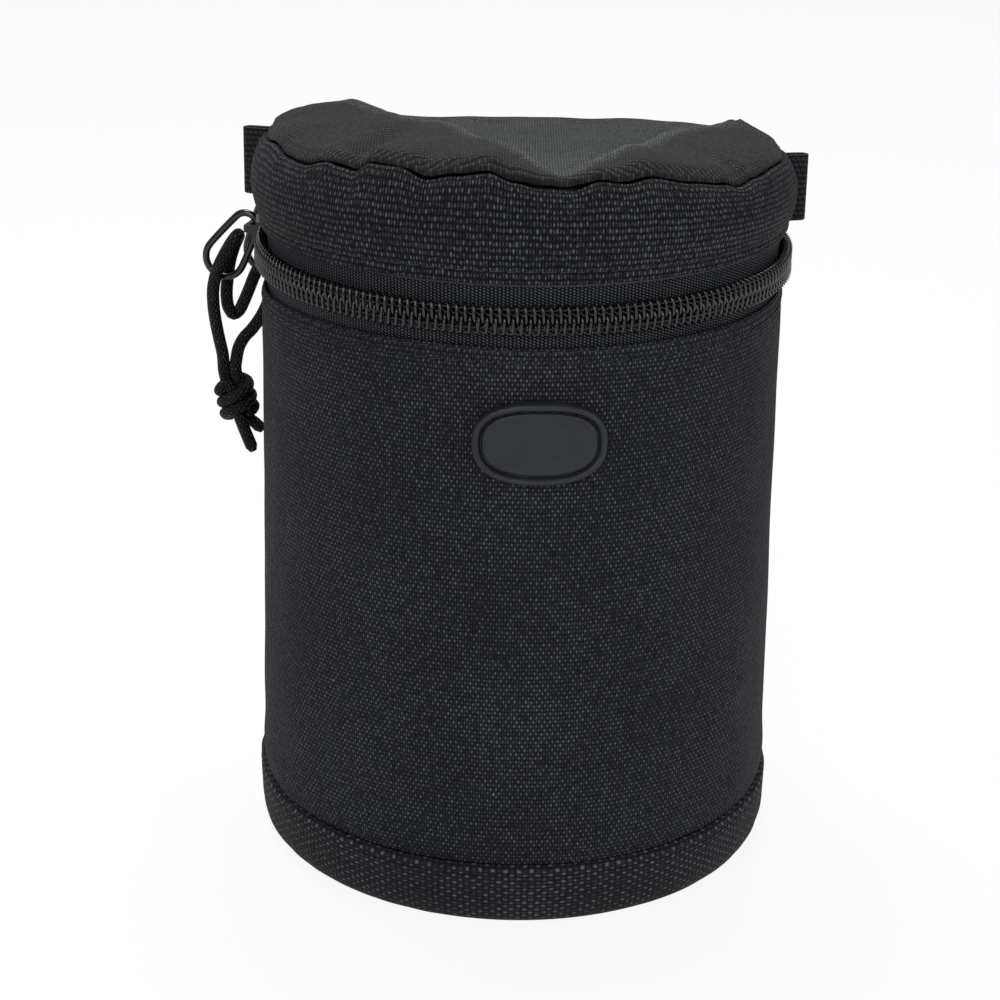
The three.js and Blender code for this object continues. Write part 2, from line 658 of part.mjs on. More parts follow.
// ---- Pull rings: pear-shaped closed wires through the sliders' bridges ----
const ringCentre = plateOuterHigh + clearance + ringNeckWidth / 2;
const ringSpan = ringLength - ringNeckWidth / 2 - ringWidth / 2;
function ringWire(droop) {
  const arcSteps = 8;
  const sides = 6;
  const wirePath = [];
  const neckRadius = (ringNeckWidth - wireDiameter) / 2;
  const footRadius = (ringWidth - wireDiameter) / 2;
  const touching = Math.acos((neckRadius - footRadius) / ringSpan);
  for (const [end, radius, from, to] of [
    [0, neckRadius, touching, 2 * Math.PI - touching], [ringSpan, footRadius, -touching, touching],
  ]) {
    for (let i = 0; i <= arcSteps; i++) {
      const a = from + ((to - from) * i) / arcSteps;
      wirePath.push([end + radius * Math.cos(a), radius * Math.sin(a)]);
    }
  }
  const points = [];
  const faces = [];
  const n = wirePath.length;
  const cos = Math.cos(-droop);
  const sin = Math.sin(-droop);
  wirePath.forEach(([a, b], i) => {
    const before = wirePath[(i + n - 1) % n];
    const after = wirePath[(i + 1) % n];
    const t = new THREE.Vector2(after[0] - before[0], after[1] - before[1]).normalize();
    for (let k = 0; k < sides; k++) {
      const around6 = (2 * Math.PI * (k + 0.5)) / sides;
      const out = (wireDiameter / 2) * Math.cos(around6);
      const p = [a + t.y * out, b - t.x * out];
      const w = p[0] * cos - p[1] * sin;
      const v = p[0] * sin + p[1] * cos;
      points.push([(wireDiameter / 2) * Math.sin(around6), -(ringCentre + w), zipHeight + v]);
    }
  });
  for (let i = 0; i < n; i++) {
    for (let k = 0; k < sides; k++) {
      const m = (k + 1) % sides;
      const p = i * sides;
      const q = ((i + 1) % n) * sides;
      faces.push([p + k, p + m, q + m], [p + k, q + m, q + k]);
    }
  }
  return bufferOf(points, faces);
}

const frontSlider = new THREE.Group();
frontSlider.rotation.z = rad(frontSliderAngle);
part.add(frontSlider);
piece('front_slider', sliderGeometry, blackPaint, frontSlider);
piece('front_pull_ring', ringWire(rad(frontRingDroop)), ringSteel, frontSlider);

const rearSlider = new THREE.Group();
rearSlider.rotation.z = rad(rearSliderAngle);
part.add(rearSlider);
piece('rear_slider', sliderFlipped, blackPaint, rearSlider);
piece('rear_pull_ring', ringWire(rad(rearRingDroop)), ringSteel, rearSlider);

// ---- Pull cord: through the front ring, out in a second loop beside the rear one, down to its knot ----
// Points in the front slider's own frame (x along the chain, y = -distance out, z up).
const cordRoute = [
  [0, -68.2, 100.4], [0.15, -68.9, 103.5], [0.4, -69.6, 107.5], [0.9, -70.2, 112], [1.7, -70.3, 116.5],
  [2.4, -69.9, 120], [2.5, -68.8, 124], [2.35, -67.1, 127.6], [1.6, -65.3, 130.8], [0, -64.7, 131.7],
  [-1.6, -65.2, 130.8], [-2.35, -66.6, 128], [-2.5, -67.7, 124.5], [-2.5, -68.3, 120.5], [-2.5, -68.6, 116.8],
  [-2.9, -68.3, 113.7], [-3.9, -67.5, 112.1], [-5, -66.6, 112.7], [-6, -65.6, 115], [-7, -64.7, 117.6],
  [-7.8, -63.9, 120], [-8.4, -63, 121.8], [-9.1, -61.8, 122.2], [-9.5, -60.8, 121], [-9.4, -60.3, 118.2],
  [-8.6, -60.8, 114.6], [-7.2, -62.2, 111], [-5.4, -63.8, 108.4], [-3.4, -65, 106.9], [-1.6, -65.7, 105],
  [-0.6, -65.9, 102.9], [0, -65.9, 100.4],
];
const cordSteps = 60;
const tailRouteA = [[0.9, -64.6, 91], [1.2, -63.8, 86.5], [1.5, -61.6, 82]];
const tailRouteB = [[-1.2, -64.3, 91.5], [-2.4, -62.6, 89.5], [-3, -60.9, 85.5]];
const knotBottom = 88;
const knotLean = 13;            // degrees the knot leans towards the pouch at its foot

function cordTube(route, steps) {
  const path = new THREE.CatmullRomCurve3(route.map((p) => new THREE.Vector3(...p)), false, 'centripetal');
  const section = new THREE.Shape();
  for (let k = 0; k < cordSides; k++) {
    const a = (2 * Math.PI * (k + 0.5)) / cordSides;
    const p = [(cordDiameter / 2) * Math.cos(a), (cordDiameter / 2) * Math.sin(a)];
    if (k === 0) section.moveTo(...p);
    else section.lineTo(...p);
  }
  section.closePath();
  return new THREE.ExtrudeGeometry(section, { steps, extrudePath: path, bevelEnabled: false });
}
piece('pull_cord', cordTube(cordRoute, cordSteps), cordFabric, frontSlider);

// The knot: a turned lump with a waist between its two wraps. Shares of its height and half width.
const knotHeightShares = [0, 0.06, 0.24, 0.42, 0.52, 0.64, 0.82, 0.96, 1];
const knotWidthShares = [0, 0.55, 0.98, 0.9, 0.82, 0.94, 0.96, 0.55, 0];
const knotFlatShare = 0.82;
const knotLathe = new THREE.LatheGeometry(knotHeightShares.map((share, i) =>
  new THREE.Vector2((knotWidth / 2) * knotWidthShares[i], knotHeight * share)), 12);
knotLathe.rotateX(Math.PI / 2);
knotLathe.scale(knotFlatShare, 1, 1);
knotLathe.rotateX(rad(knotLean));
knotLathe.translate(0, tailRouteA[0][1], knotBottom);
const knotted = toManifold(knotLathe)
  .add(toManifold(cordTube(tailRouteA, 5)))
  .add(toManifold(cordTube(tailRouteB, 4)));
piece('pull_knot', fromManifold(knotted), cordFabric, frontSlider);

// ---- Webbing loops on the lid's sides ----
const loopBottom = lidMouth + 2 * clearance;
const lidSkin = toManifold(shell([
  [0, loopBottom - loopReach],
  [lidBottomRadius + clearance, loopBottom - loopReach],
  ...lidWallOuter.map(([r, z]) => [r + clearance, z]),
  [0, lidSeam],
], lidRise));
const foldRadius = loopGap / 2 + webbingThickness;
const loopTop = loopBottom + loopHeight;
function lidWallRadius(z) {
  const above = Math.max(1, lidWallOuter.findIndex(([, height]) => height >= z));
  const [[lowRadius, low], [highRadius, high]] = [lidWallOuter[above - 1], lidWallOuter[above]];
  return lowRadius + ((highRadius - lowRadius) * Math.max(0, z - low)) / (high - low);
}
const besideLoop = [loopBottom, (loopBottom + loopTop) / 2, Math.min(loopTop, lidSeam)].map(lidWallRadius);
for (const [name, side] of [['webbing_loop_left', -1], ['webbing_loop_right', 1]]) {
  const outer = new THREE.Shape();
  const tip = Math.max(...besideLoop, lidBulgeRadius) + loopReach;
  const root = Math.min(...besideLoop) - loopReach;
  outer.moveTo(-foldRadius, root);
  outer.lineTo(foldRadius, root);
  outer.lineTo(foldRadius, tip - foldRadius);
  outer.absarc(0, tip - foldRadius, foldRadius, 0, Math.PI, false);
  outer.closePath();
  const slot = new THREE.Path();
  const inner = loopGap / 2;
  slot.moveTo(-inner, root + webbingThickness);
  slot.absarc(0, tip - foldRadius, inner, Math.PI, 0, true);
  slot.lineTo(inner, root + webbingThickness);
  slot.closePath();
  outer.holes.push(slot);
  const g = new THREE.ExtrudeGeometry(outer, { depth: loopHeight, bevelEnabled: false, curveSegments: 6 });
  g.rotateZ(Math.PI);
  g.translate(0, 0, loopBottom);
  g.rotateZ(side * rad(loopAngle));
  piece(name, fromManifold(toManifold(g).subtract(lidSkin)), webbing);
}

// ---- Belt loop on the flat back: a strap that stands off between two sewn ends ----
const backFace = (z) => backFlat - (planRadius - bodyWallRadius(z)) + clearance;
const strapMiddle = (beltLoopTop + beltLoopBottom) / 2;
const strapBow = beltLoopGap;
// Heights along the strap as shares from its bottom to its top, and the bow at each.
const strapShares = [0, beltLoopFoot / (beltLoopTop - beltLoopBottom), 0.22, 0.5, 0.78, 1 - beltLoopFoot / (beltLoopTop - beltLoopBottom), 1];
const bowShares = [0, 0, 0.85, 1, 0.85, 0, 0];
const strapInside = strapShares.map((share, i) => {
  const z = beltLoopBottom + (beltLoopTop - beltLoopBottom) * share;
  return [backFace(strapMiddle) + (bowShares[i] ? strapBow * bowShares[i] : backFace(z) - backFace(strapMiddle)), z];
});
const strapOutside = strapInside.map(([y, z]) => [y + webbingThickness, z]);
const strapShape = new THREE.Shape([...strapInside, ...strapOutside.reverse()].map(([y, z]) => new THREE.Vector2(y, z)));
const strap = new THREE.ExtrudeGeometry(strapShape, { depth: beltLoopWidth, bevelEnabled: false });
{
  const p = strap.attributes.position;
  for (let i = 0; i < p.count; i++) {
    p.setXYZ(i, p.getZ(i) - beltLoopWidth / 2, p.getX(i), p.getY(i));
  }
  strap.computeVertexNormals();
}
piece('belt_loop', strap, webbing);

// ---- Rubber patch on the front: an oval with a raised rim and a plain raised face ----
const patchSeat = clearance
  + Math.max(...[-1, 1].map((side) => bodyWallRadius(patchCentre + (side * patchHeight) / 2)));
const patchPower = 0.72;        // a superellipse: 1 is an ellipse, less is squarer
const rimTop = patchThickness + patchRimRise;
const patchRings = [
  [0, 0, true], [0, 0], [0, patchThickness], [patchRimWidth * 0.25, rimTop], [patchRimWidth * 0.8, rimTop],
  [patchRimWidth, patchThickness], [patchRimWidth + patchFaceInset, patchThickness],
  [patchRimWidth + patchFaceInset + patchRimRise / 2, patchThickness + patchRimRise / 2],
  [0, patchThickness + patchRimRise / 2, true],
];
const patchSides = 36;
const patchPoints = [];
const patchFaces = [];
const patchIndex = patchRings.map(([inset, rise, middle]) => {
  const count = middle ? 1 : patchSides;
  const first = patchPoints.length;
  for (let i = 0; i < count; i++) {
    const a = (2 * Math.PI * i) / patchSides;
    const power = (t) => Math.sign(t) * Math.abs(t) ** patchPower;
    const s = middle ? 0 : (patchWidth / 2 - inset) * power(Math.cos(a));
    const v = middle ? 0 : (patchHeight / 2 - inset) * power(Math.sin(a));
    patchPoints.push(around((patchOffset + s) / planRadius, patchSeat + rise, patchCentre + v));
  }
  return Array.from({ length: patchSides }, (_, i) => first + (middle ? 0 : i));
});
for (let k = 0; k < patchIndex.length - 1; k++) {
  for (let i = 0; i < patchSides; i++) {
    const j = (i + 1) % patchSides;
    const [a, b, c, d] = [patchIndex[k][i], patchIndex[k][j], patchIndex[k + 1][j], patchIndex[k + 1][i]];
    if (a !== b) patchFaces.push([a, b, c]);
    if (c !== d) patchFaces.push([a, c, d]);
  }
}
piece('label_patch', bufferOf(patchPoints, patchFaces), rubber);

export default part;
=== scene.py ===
import json
import math
import bpy
import bmesh
from mathutils import Matrix, Vector, kdtree, noise

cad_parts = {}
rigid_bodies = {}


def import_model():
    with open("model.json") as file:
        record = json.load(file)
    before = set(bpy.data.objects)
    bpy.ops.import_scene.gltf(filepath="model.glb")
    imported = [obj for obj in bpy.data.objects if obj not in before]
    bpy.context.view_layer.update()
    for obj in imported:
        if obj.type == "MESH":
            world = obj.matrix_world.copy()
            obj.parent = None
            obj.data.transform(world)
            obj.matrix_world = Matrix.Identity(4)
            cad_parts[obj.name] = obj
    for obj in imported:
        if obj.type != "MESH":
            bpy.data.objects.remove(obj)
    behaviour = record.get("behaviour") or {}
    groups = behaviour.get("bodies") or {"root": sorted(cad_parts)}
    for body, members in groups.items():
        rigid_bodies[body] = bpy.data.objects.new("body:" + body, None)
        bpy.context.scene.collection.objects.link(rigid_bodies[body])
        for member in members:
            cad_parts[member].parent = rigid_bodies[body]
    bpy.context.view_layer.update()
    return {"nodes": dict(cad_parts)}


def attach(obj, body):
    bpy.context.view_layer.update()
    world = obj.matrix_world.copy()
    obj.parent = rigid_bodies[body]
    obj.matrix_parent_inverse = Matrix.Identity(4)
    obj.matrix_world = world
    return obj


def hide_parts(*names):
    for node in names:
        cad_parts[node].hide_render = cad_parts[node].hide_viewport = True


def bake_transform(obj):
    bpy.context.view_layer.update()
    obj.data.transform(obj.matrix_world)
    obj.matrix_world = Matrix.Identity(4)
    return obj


bpy.ops.object.select_all(action="SELECT")
bpy.ops.object.delete()
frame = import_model()
bpy.ops.object.select_all(action="DESELECT")

# ---- Viewpoint ----
# The photograph is taken from a little above the lid, half a metre in front of
# the pouch, with a long lens that leans a degree to the right.
CAMERA_PLACE = (0, -0.505, 0.267)
CAMERA_FALL = 20.78
CAMERA_LEAN = 1.0
bpy.ops.object.camera_add(location=CAMERA_PLACE)
camera = bpy.context.object
camera.data.sensor_width = 36
camera.data.lens = 86.69
camera.matrix_world = (Matrix.Translation(CAMERA_PLACE) @ Matrix.Rotation(math.radians(0.45), 4, "Z")
                       @ Matrix.Rotation(math.radians(90 - CAMERA_FALL), 4, "X")
                       @ Matrix.Rotation(math.radians(CAMERA_LEAN), 4, "Z"))
bpy.context.scene.camera = camera
bpy.context.scene.view_settings.view_transform = "Standard"

# ---- Pull cord ----
# A braided black cord of 2.8 mm: up through the front ring, out in a second loop
# beside the rear one, and both tied in one knot, with two melted ends below it.
CORD_RADIUS = 0.0014
FINE_STEP = 0.0006
FRONT_SLIDER_TURN = -102.5
REAR_SLIDER_TURN = -114
KNOT_FOOT = (0, -64.6, 88)
KNOT_LEAN = math.radians(13)


def smooth_line(points, spacing, closed=False):
    """Points at an even spacing on one smooth curve through the given ones."""
    pts = [Vector(p) for p in points]
    count = len(pts)
    line = []
    for i in range(count if closed else count - 1):
        b, c = pts[i], pts[(i + 1) % count]
        a = pts[i - 1] if closed or i else b * 2 - c
        d = pts[(i + 2) % count] if closed or i + 2 < count else c * 2 - b
        t1 = max((b - a).length, 1e-9) ** 0.5
        t2 = t1 + max((c - b).length, 1e-9) ** 0.5
        t3 = t2 + max((d - c).length, 1e-9) ** 0.5
        steps = max(2, math.ceil((c - b).length / spacing * 3))
        for k in range(steps):
            t = t1 + (t2 - t1) * k / steps
            ab, bc, cd = a.lerp(b, t / t1), b.lerp(c, (t - t1) / (t2 - t1)), c.lerp(d, (t - t2) / (t3 - t2))
            line.append(ab.lerp(bc, t / t2).lerp(bc.lerp(cd, (t - t1) / (t3 - t1)), (t - t1) / (t2 - t1)))
    line.append(pts[0].copy() if closed else pts[-1].copy())
    along = [0]
    for p, q in zip(line, line[1:]):
        along.append(along[-1] + (q - p).length)
    total = max(2, round(along[-1] / spacing))
    even, i = [], 0
    for k in range(total + (0 if closed else 1)):
        want = along[-1] * k / total
        while i < len(line) - 2 and along[i + 1] < want:
            i += 1
        even.append(line[i].lerp(line[i + 1], (want - along[i]) / max(along[i + 1] - along[i], 1e-12)))
    return even


def in_scene(name, mesh):
    """A new piece made from a mesh."""
    piece = bpy.data.objects.new(name, mesh)
    bpy.context.scene.collection.objects.link(piece)
    return piece


def tube(name, line, radii, sides, closed=False):
    """A round mesh tube along a line, with a UV map in metres: round it, then along it."""
    made = bmesh.new()
    uv_map = made.loops.layers.uv.new("UVMap")
    count = len(line)
    last = count - 1
    ahead = [(line[(i + 1) % count if closed else min(i + 1, last)]
              - line[i - 1 if closed else max(i - 1, 0)]).normalized() for i in range(count)]
    side = ahead[0].orthogonal().normalized()
    rings, along = [], [0.0]
    for i, (place, way) in enumerate(zip(line, ahead)):
        side = (side - way * side.dot(way)).normalized()
        across = way.cross(side)
        if i:
            along.append(along[-1] + (place - line[i - 1]).length)
        turns = [2 * math.pi * k / sides for k in range(sides)]
        rings.append([made.verts.new(place + side * radii[i] * math.cos(a) + across * radii[i] * math.sin(a))
                      for a in turns])
    pairs = [(i, i + 1) for i in range(last)] + ([(last, 0)] if closed else [])
    girth = 2 * math.pi * max(radii)
    for i, j in pairs:
        start, end = along[i], along[i] + (line[j] - line[i]).length
        shift = 0
        if closed and j == 0:
            shift = min(range(sides), key=lambda s: (rings[0][s].co - rings[i][0].co).length)
        for k in range(sides):
            m = (k + 1) % sides
            face = made.faces.new((rings[i][k], rings[i][m],
                                   rings[j][(m + shift) % sides], rings[j][(k + shift) % sides]))
            face.smooth = True
            corners = [(k, start), (k + 1, start), (k + 1, end), (k, end)]
            for loop, (turn, length) in zip(face.loops, corners):
                loop[uv_map].uv = (girth * turn / sides, length)
    if not closed:
        made.faces.new(rings[0][::-1])
        made.faces.new(rings[-1])
    mesh = bpy.data.meshes.new(name)
    made.to_mesh(mesh)
    made.free()
    return in_scene(name, mesh)


def by_slider(x, y, z):
    """A point given beside the front slider, in millimetres, in the pouch's place in metres."""
    return Matrix.Rotation(math.radians(FRONT_SLIDER_TURN), 3, "Z") @ Vector((x, y, z)) * 0.001


def in_knot(turn, out, up):
    """A point of the knot: its turn round the knot's leaning middle, in degrees, and millimetres out and up."""
    side, depth = out * math.cos(math.radians(turn)), out * math.sin(math.radians(turn))
    return (side, KNOT_FOOT[1] + depth * math.cos(KNOT_LEAN) - up * math.sin(KNOT_LEAN),
            KNOT_FOOT[2] + depth * math.sin(KNOT_LEAN) + up * math.cos(KNOT_LEAN))


def knot_strand(entry, leave):
    """One strand's way down through the knot's core, round it, and down through the core again."""
    wrap = [in_knot(entry + 30 + 62 * k, 3.35, 2.9 + 0.96 * k) for k in range(7)]
    down = [in_knot(entry, 1.4, 12.4), in_knot(entry, 1.45, 9.2), in_knot(entry, 1.45, 5), in_knot(entry + 4, 2.2, 2.2)]
    return down + wrap + [in_knot(leave - 30, 2.3, 9.6), in_knot(leave, 1.5, 7.6), in_knot(leave, 1.5, 4)]


through_the_ring = [
    [0.15, -68.9, 103.5], [0.4, -69.6, 107.5], [0.9, -70.2, 112], [1.7, -70.3, 116.5],
    [2.4, -69.9, 120], [2.5, -68.8, 124], [2.35, -67.1, 127.6], [1.6, -65.3, 130.8], [0, -64.7, 131.7],
    [-1.6, -65.2, 130.8], [-2.35, -66.6, 128], [-2.5, -67.7, 124.5], [-2.5, -68.3, 120.5], [-2.5, -68.6, 116.8],
    [-2.9, -68.3, 113.7], [-3.9, -67.5, 112.1], [-5, -66.6, 112.7], [-6, -65.6, 115], [-7, -64.7, 117.6],
    [-7.8, -63.9, 120], [-8.4, -63, 121.8], [-9.1, -61.8, 122.2], [-9.5, -60.8, 121], [-9.4, -60.3, 118.2],
    [-8.6, -60.8, 114.6], [-7.2, -62.2, 111], [-5.4, -63.8, 108.4], [-3.4, -65, 106.9], [-1.6, -65.7, 105],
    [-0.6, -65.9, 102.9]]
outer_strand = knot_strand(270, 360 + 270 + 90) + [[1.5, -64, 87.5], [1.3, -62.9, 84.5], [1.5, -61.6, 81.6]]
inner_strand = knot_strand(90, 450 + 90) + [[-1.7, -64, 88.6], [-2.5, -62.4, 87], [-3, -60.9, 85.2]]
cord_route = outer_strand[::-1] + through_the_ring + inner_strand
cord_line = smooth_line([by_slider(*p) for p in cord_route], FINE_STEP)
cord_end = len(cord_line) - 1
cord_radii = [CORD_RADIUS * min(1, 0.55 + 0.45 * min(i, cord_end - i) / 2) for i in range(cord_end + 1)]
pull_cord = tube("pull_cord_braid", cord_line, cord_radii, 14)


def finish_of(name, colour, roughness, metallic=0.0, sheen=0.0, gloss=0.5):
    """A new material with its even values set on the shader itself."""
    made = bpy.data.materials.new(name)
    made.use_nodes = True
    shader = made.node_tree.nodes["Principled BSDF"]
    shader.inputs["Base Color"].default_value = (*colour, 1)
    shader.inputs["Roughness"].default_value = roughness
    shader.inputs["Metallic"].default_value = metallic
    shader.inputs["Sheen Weight"].default_value = sheen
    shader.inputs["Specular IOR Level"].default_value = gloss
    return made


def wire(made, kind, settings=None, **inputs):
    """Adds a node, gives its inputs a value or a link, by name or as i0, i1 and so on, and returns it."""
    node = made.node_tree.nodes.new(kind)
    for key, value in (settings or {}).items():
        setattr(node, key, value)
    for key, value in inputs.items():
        slot = node.inputs[int(key[1:]) if key[0] == "i" and key[1:].isdigit() else key.replace("_", " ")]
        if isinstance(value, bpy.types.NodeSocket):
            made.node_tree.links.new(value, slot)
        else:
            slot.default_value = value
    return node


def sum_of(made, operation, first, second=0.0, third=0.0):
    """The result of one Math node."""
    return wire(made, "ShaderNodeMath", {"operation": operation}, i0=first, i1=second, i2=third).outputs[0]


def times(made, first, second):
    return sum_of(made, "MULTIPLY", first, second)


def scaled(made, value, gain, start):
    return sum_of(made, "MULTIPLY_ADD", value, gain, start)


def wave(made, threads):
    """A sine that turns over once for each thread."""
    return sum_of(made, "SINE", times(made, threads, math.pi))


def ribs_and_picks(made, u, v):
    """The upright ribs of narrow webbing, and the staggered picks across them."""
    picks = sum_of(made, "ABSOLUTE", wave(made, scaled(made, u, 0.5, v)))
    return sum_of(made, "ABSOLUTE", wave(made, u)), picks


def own_place(made):
    return wire(made, "ShaderNodeTexCoord").outputs["Object"]


def speckle(made, scale, detail, **more):
    """Soft random noise over the piece."""
    return wire(made, "ShaderNodeTexNoise", Vector=own_place(made), Scale=scale, Detail=detail, **more).outputs["Fac"]


def thread_grid(made, across, along, wander=0.08):
    """Places on the cloth counted in threads: the separate outputs of a scaled, slightly wandering UV."""
    uv = wire(made, "ShaderNodeTexCoord").outputs["UV"]
    waver = wire(made, "ShaderNodeTexNoise", Vector=uv, Scale=420.0, Detail=2.0).outputs["Color"]
    place = wire(made, "ShaderNodeMapping", Vector=uv, Scale=(1 / across, 1 / along, 1.0)).outputs[0]
    moved = wire(made, "ShaderNodeVectorMath", {"operation": "MULTIPLY_ADD"}, i0=waver, i1=(wander * 2,) * 3, i2=place)
    return wire(made, "ShaderNodeSeparateXYZ", Vector=moved.outputs[0]).outputs


def surface(made, height, depth, colour, roughness=None):
    """Gives the shader a bump of that depth in metres, a colour, and a roughness where it varies."""
    shader = made.node_tree.nodes["Principled BSDF"]
    bump = wire(made, "ShaderNodeBump", Height=height, Distance=depth, Strength=1.0).outputs[0]
    for name, value in (("Normal", bump), ("Base Color", colour), ("Roughness", roughness)):
        if value is not None:
            made.node_tree.links.new(value, shader.inputs[name])


def shades(made, factor, *stops):
    """A colour ramp from (place, colour) pairs."""
    node = wire(made, "ShaderNodeValToRGB", Fac=factor)
    ramp = node.color_ramp
    while len(ramp.elements) < len(stops):
        ramp.elements.new(0.5)
    for element, (place, colour) in zip(ramp.elements, stops):
        element.position = place
        element.color = (*colour, 1)
    return node.outputs[0]


def braid_finish():
    """Braided sheath: strands crossing in diamonds, with painted shade between the strands and a few small painted
    highlights on their crests.
    """
    made = finish_of("cord_braid", (0.006, 0.0066, 0.008), 0.6, gloss=0.2)
    u, v, _ = thread_grid(made, 0.00098, 0.0015)
    rise, fall = wave(made, sum_of(made, "ADD", u, v)), wave(made, sum_of(made, "SUBTRACT", u, v))
    crossing = sum_of(made, "ABSOLUTE", times(made, rise, fall))
    braid_painted_light = times(made, crossing, sum_of(made, "POWER", speckle(made, 1900.0, 1.0), 1.6))
    # The ramp paints shade where the strands dip and small highlights where they cross on top.
    colour = shades(made, braid_painted_light, (0.0, (0.002, 0.0022, 0.003)), (0.26, (0.006, 0.0066, 0.0085)),
                    (0.5, (0.06, 0.066, 0.075)))
    surface(made, crossing, 0.0003, colour)
    return made


pull_cord.data.materials.append(braid_finish())
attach(pull_cord, "front_pull")
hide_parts("pull_cord", "pull_knot")

# ---- Body wall ----
# Black polyester cloth in a fine plain weave, one strip rolled round the padding
# and closed at the back. Its upper edge is folded in and topstitched twice.
PLAN_RADIUS = 0.0575
CORNER_RADIUS = 0.022
CORNER_MIDDLE = (0.02786, 0.022)
FRONT_TURN = math.radians(128.3)
FRONT_WALK = FRONT_TURN * PLAN_RADIUS
CORNER_WALK = FRONT_WALK + (math.pi - FRONT_TURN) * CORNER_RADIUS
HALF_WALK = CORNER_WALK + CORNER_MIDDLE[0]
ALL_ROUND = (-HALF_WALK, HALF_WALK)
WALL_SEAMS = (0.1251, 0.1275)
LINT_SHARE = 0.01
LINT_COLOUR = (0.16, 0.17, 0.18, 1)


def on_plan(walk, radius):
    """The place and the outward direction at that walk round the plan from the middle of the front."""
    side = 1 if walk > 0 else -1
    gone = abs(walk)
    if gone <= FRONT_WALK:
        turn = gone / PLAN_RADIUS
        out = Vector((side * math.sin(turn), -math.cos(turn), 0))
        return out * radius, out
    turn = min(math.pi, FRONT_TURN + (gone - FRONT_WALK) / CORNER_RADIUS)
    out = Vector((side * math.sin(turn), -math.cos(turn), 0))
    left = CORNER_MIDDLE[0] - max(0, gone - CORNER_WALK)
    return Vector((side * left, CORNER_MIDDLE[1], 0)) + out * (radius - PLAN_RADIUS + CORNER_RADIUS), out


def walk_of(turn):
    """The walk to a turn, in degrees, of the round front."""
    return math.radians(turn) * PLAN_RADIUS


def turn_of(walk):
    return math.degrees(walk / PLAN_RADIUS)


def bell(distance, width):
    return math.exp(-(distance / width) ** 2)


def clamp(value):
    return min(1, max(0, value))


def rumple(walk, height, across, along, seed):
    """Soft unevenness from -1 to 1 that repeats after one walk round the plan."""
    turn = walk / HALF_WALK * math.pi
    reach = HALF_WALK / math.pi / across
    return noise.noise(Vector((math.cos(turn) * reach, math.sin(turn) * reach, height / along + seed)))


def new_grid(name, finish, columns, rows):
    """A flat grid with its UV map and finish, to be bent into a sheet vertex by vertex."""
    bpy.ops.object.select_all(action="DESELECT")
    bpy.ops.mesh.primitive_grid_add(x_subdivisions=columns, y_subdivisions=rows, size=1)
    grid = bpy.context.object
    grid.name = grid.data.name = name
    grid.data.materials.append(finish)
    return grid


def weld():
    """Joins the selected piece's edges where they meet."""
    bpy.ops.object.mode_set(mode="EDIT")
    bpy.ops.mesh.select_all(action="SELECT")
    bpy.ops.mesh.remove_doubles(threshold=0.00001)
    bpy.ops.object.mode_set(mode="OBJECT")


def thicken(cloth, thickness, offset=-1):
    """Thickens a sheet inward or, with an offset of 0, to both sides."""
    wall = cloth.modifiers.new("thickness", "SOLIDIFY")
    wall.thickness = thickness
    wall.offset = offset
    bpy.ops.object.modifier_apply(modifier=wall.name)
    bpy.ops.object.shade_smooth()


def rolled_cloth(name, finish, section, spacing, columns, thickness, drape=None, walks=ALL_ROUND, raise_by=None):
    """A strip of cloth rolled round the plan and sewn up, with (radius, height) pairs from edge to edge."""
    line = smooth_line([(r, 0, z) for r, z in section], spacing)
    rows = len(line) - 1
    cloth = new_grid(name, finish, columns, rows)
    for corner in cloth.data.uv_layers.active.data:
        corner.uv = (walks[0] + corner.uv.x * (walks[1] - walks[0]), corner.uv.y * rows * spacing)
    for vertex in cloth.data.vertices:
        walk = walks[0] + (vertex.co.x + 0.5) * (walks[1] - walks[0])
        radius, _, height = line[round((vertex.co.y + 0.5) * rows)]
        if drape:
            radius, height = drape(walk, radius, height)
        if raise_by:
            height += raise_by(*on_plan(walk, radius)[0].xy, height)
        place, _ = on_plan(walk, radius)
        vertex.co = (place.x, place.y, height)
    weld()
    thicken(cloth, thickness)
    return cloth


def low_left(walk):
    """Where the cloth has sunk a little, on the left: 1 there, and less to both sides."""
    return bell(turn_of(walk) + 88, 36)


def body_drape(walk, radius, height):
    radius += 0.00035 * rumple(walk, height, 0.03, 0.035, 3.1) + 0.00012 * rumple(walk, height, 0.009, 0.012, 7.7)
    radius -= 0.00032 * bell(height - WALL_SEAMS[0], 0.0005) + 0.0003 * bell(height - WALL_SEAMS[1], 0.0004)
    radius += 0.00018 * bell(height - 0.1263, 0.0007)
    puckers = bell(height - 0.1235, 0.0022)
    radius += 0.00018 * puckers * rumple(walk, height, 0.0035, 0.02, 1.3)
    radius += 0.0005 * bell(height - 0.0195, 0.004) * (0.7 + 0.6 * rumple(walk, height, 0.012, 0.03, 9.2))
    sunk = 0.0018 * low_left(walk) * clamp((height - 0.1) / 0.026)
    return radius, height - sunk + 0.00025 * rumple(walk, height, 0.02, 0.03, 5.0) * bell(height - 0.128, 0.004)


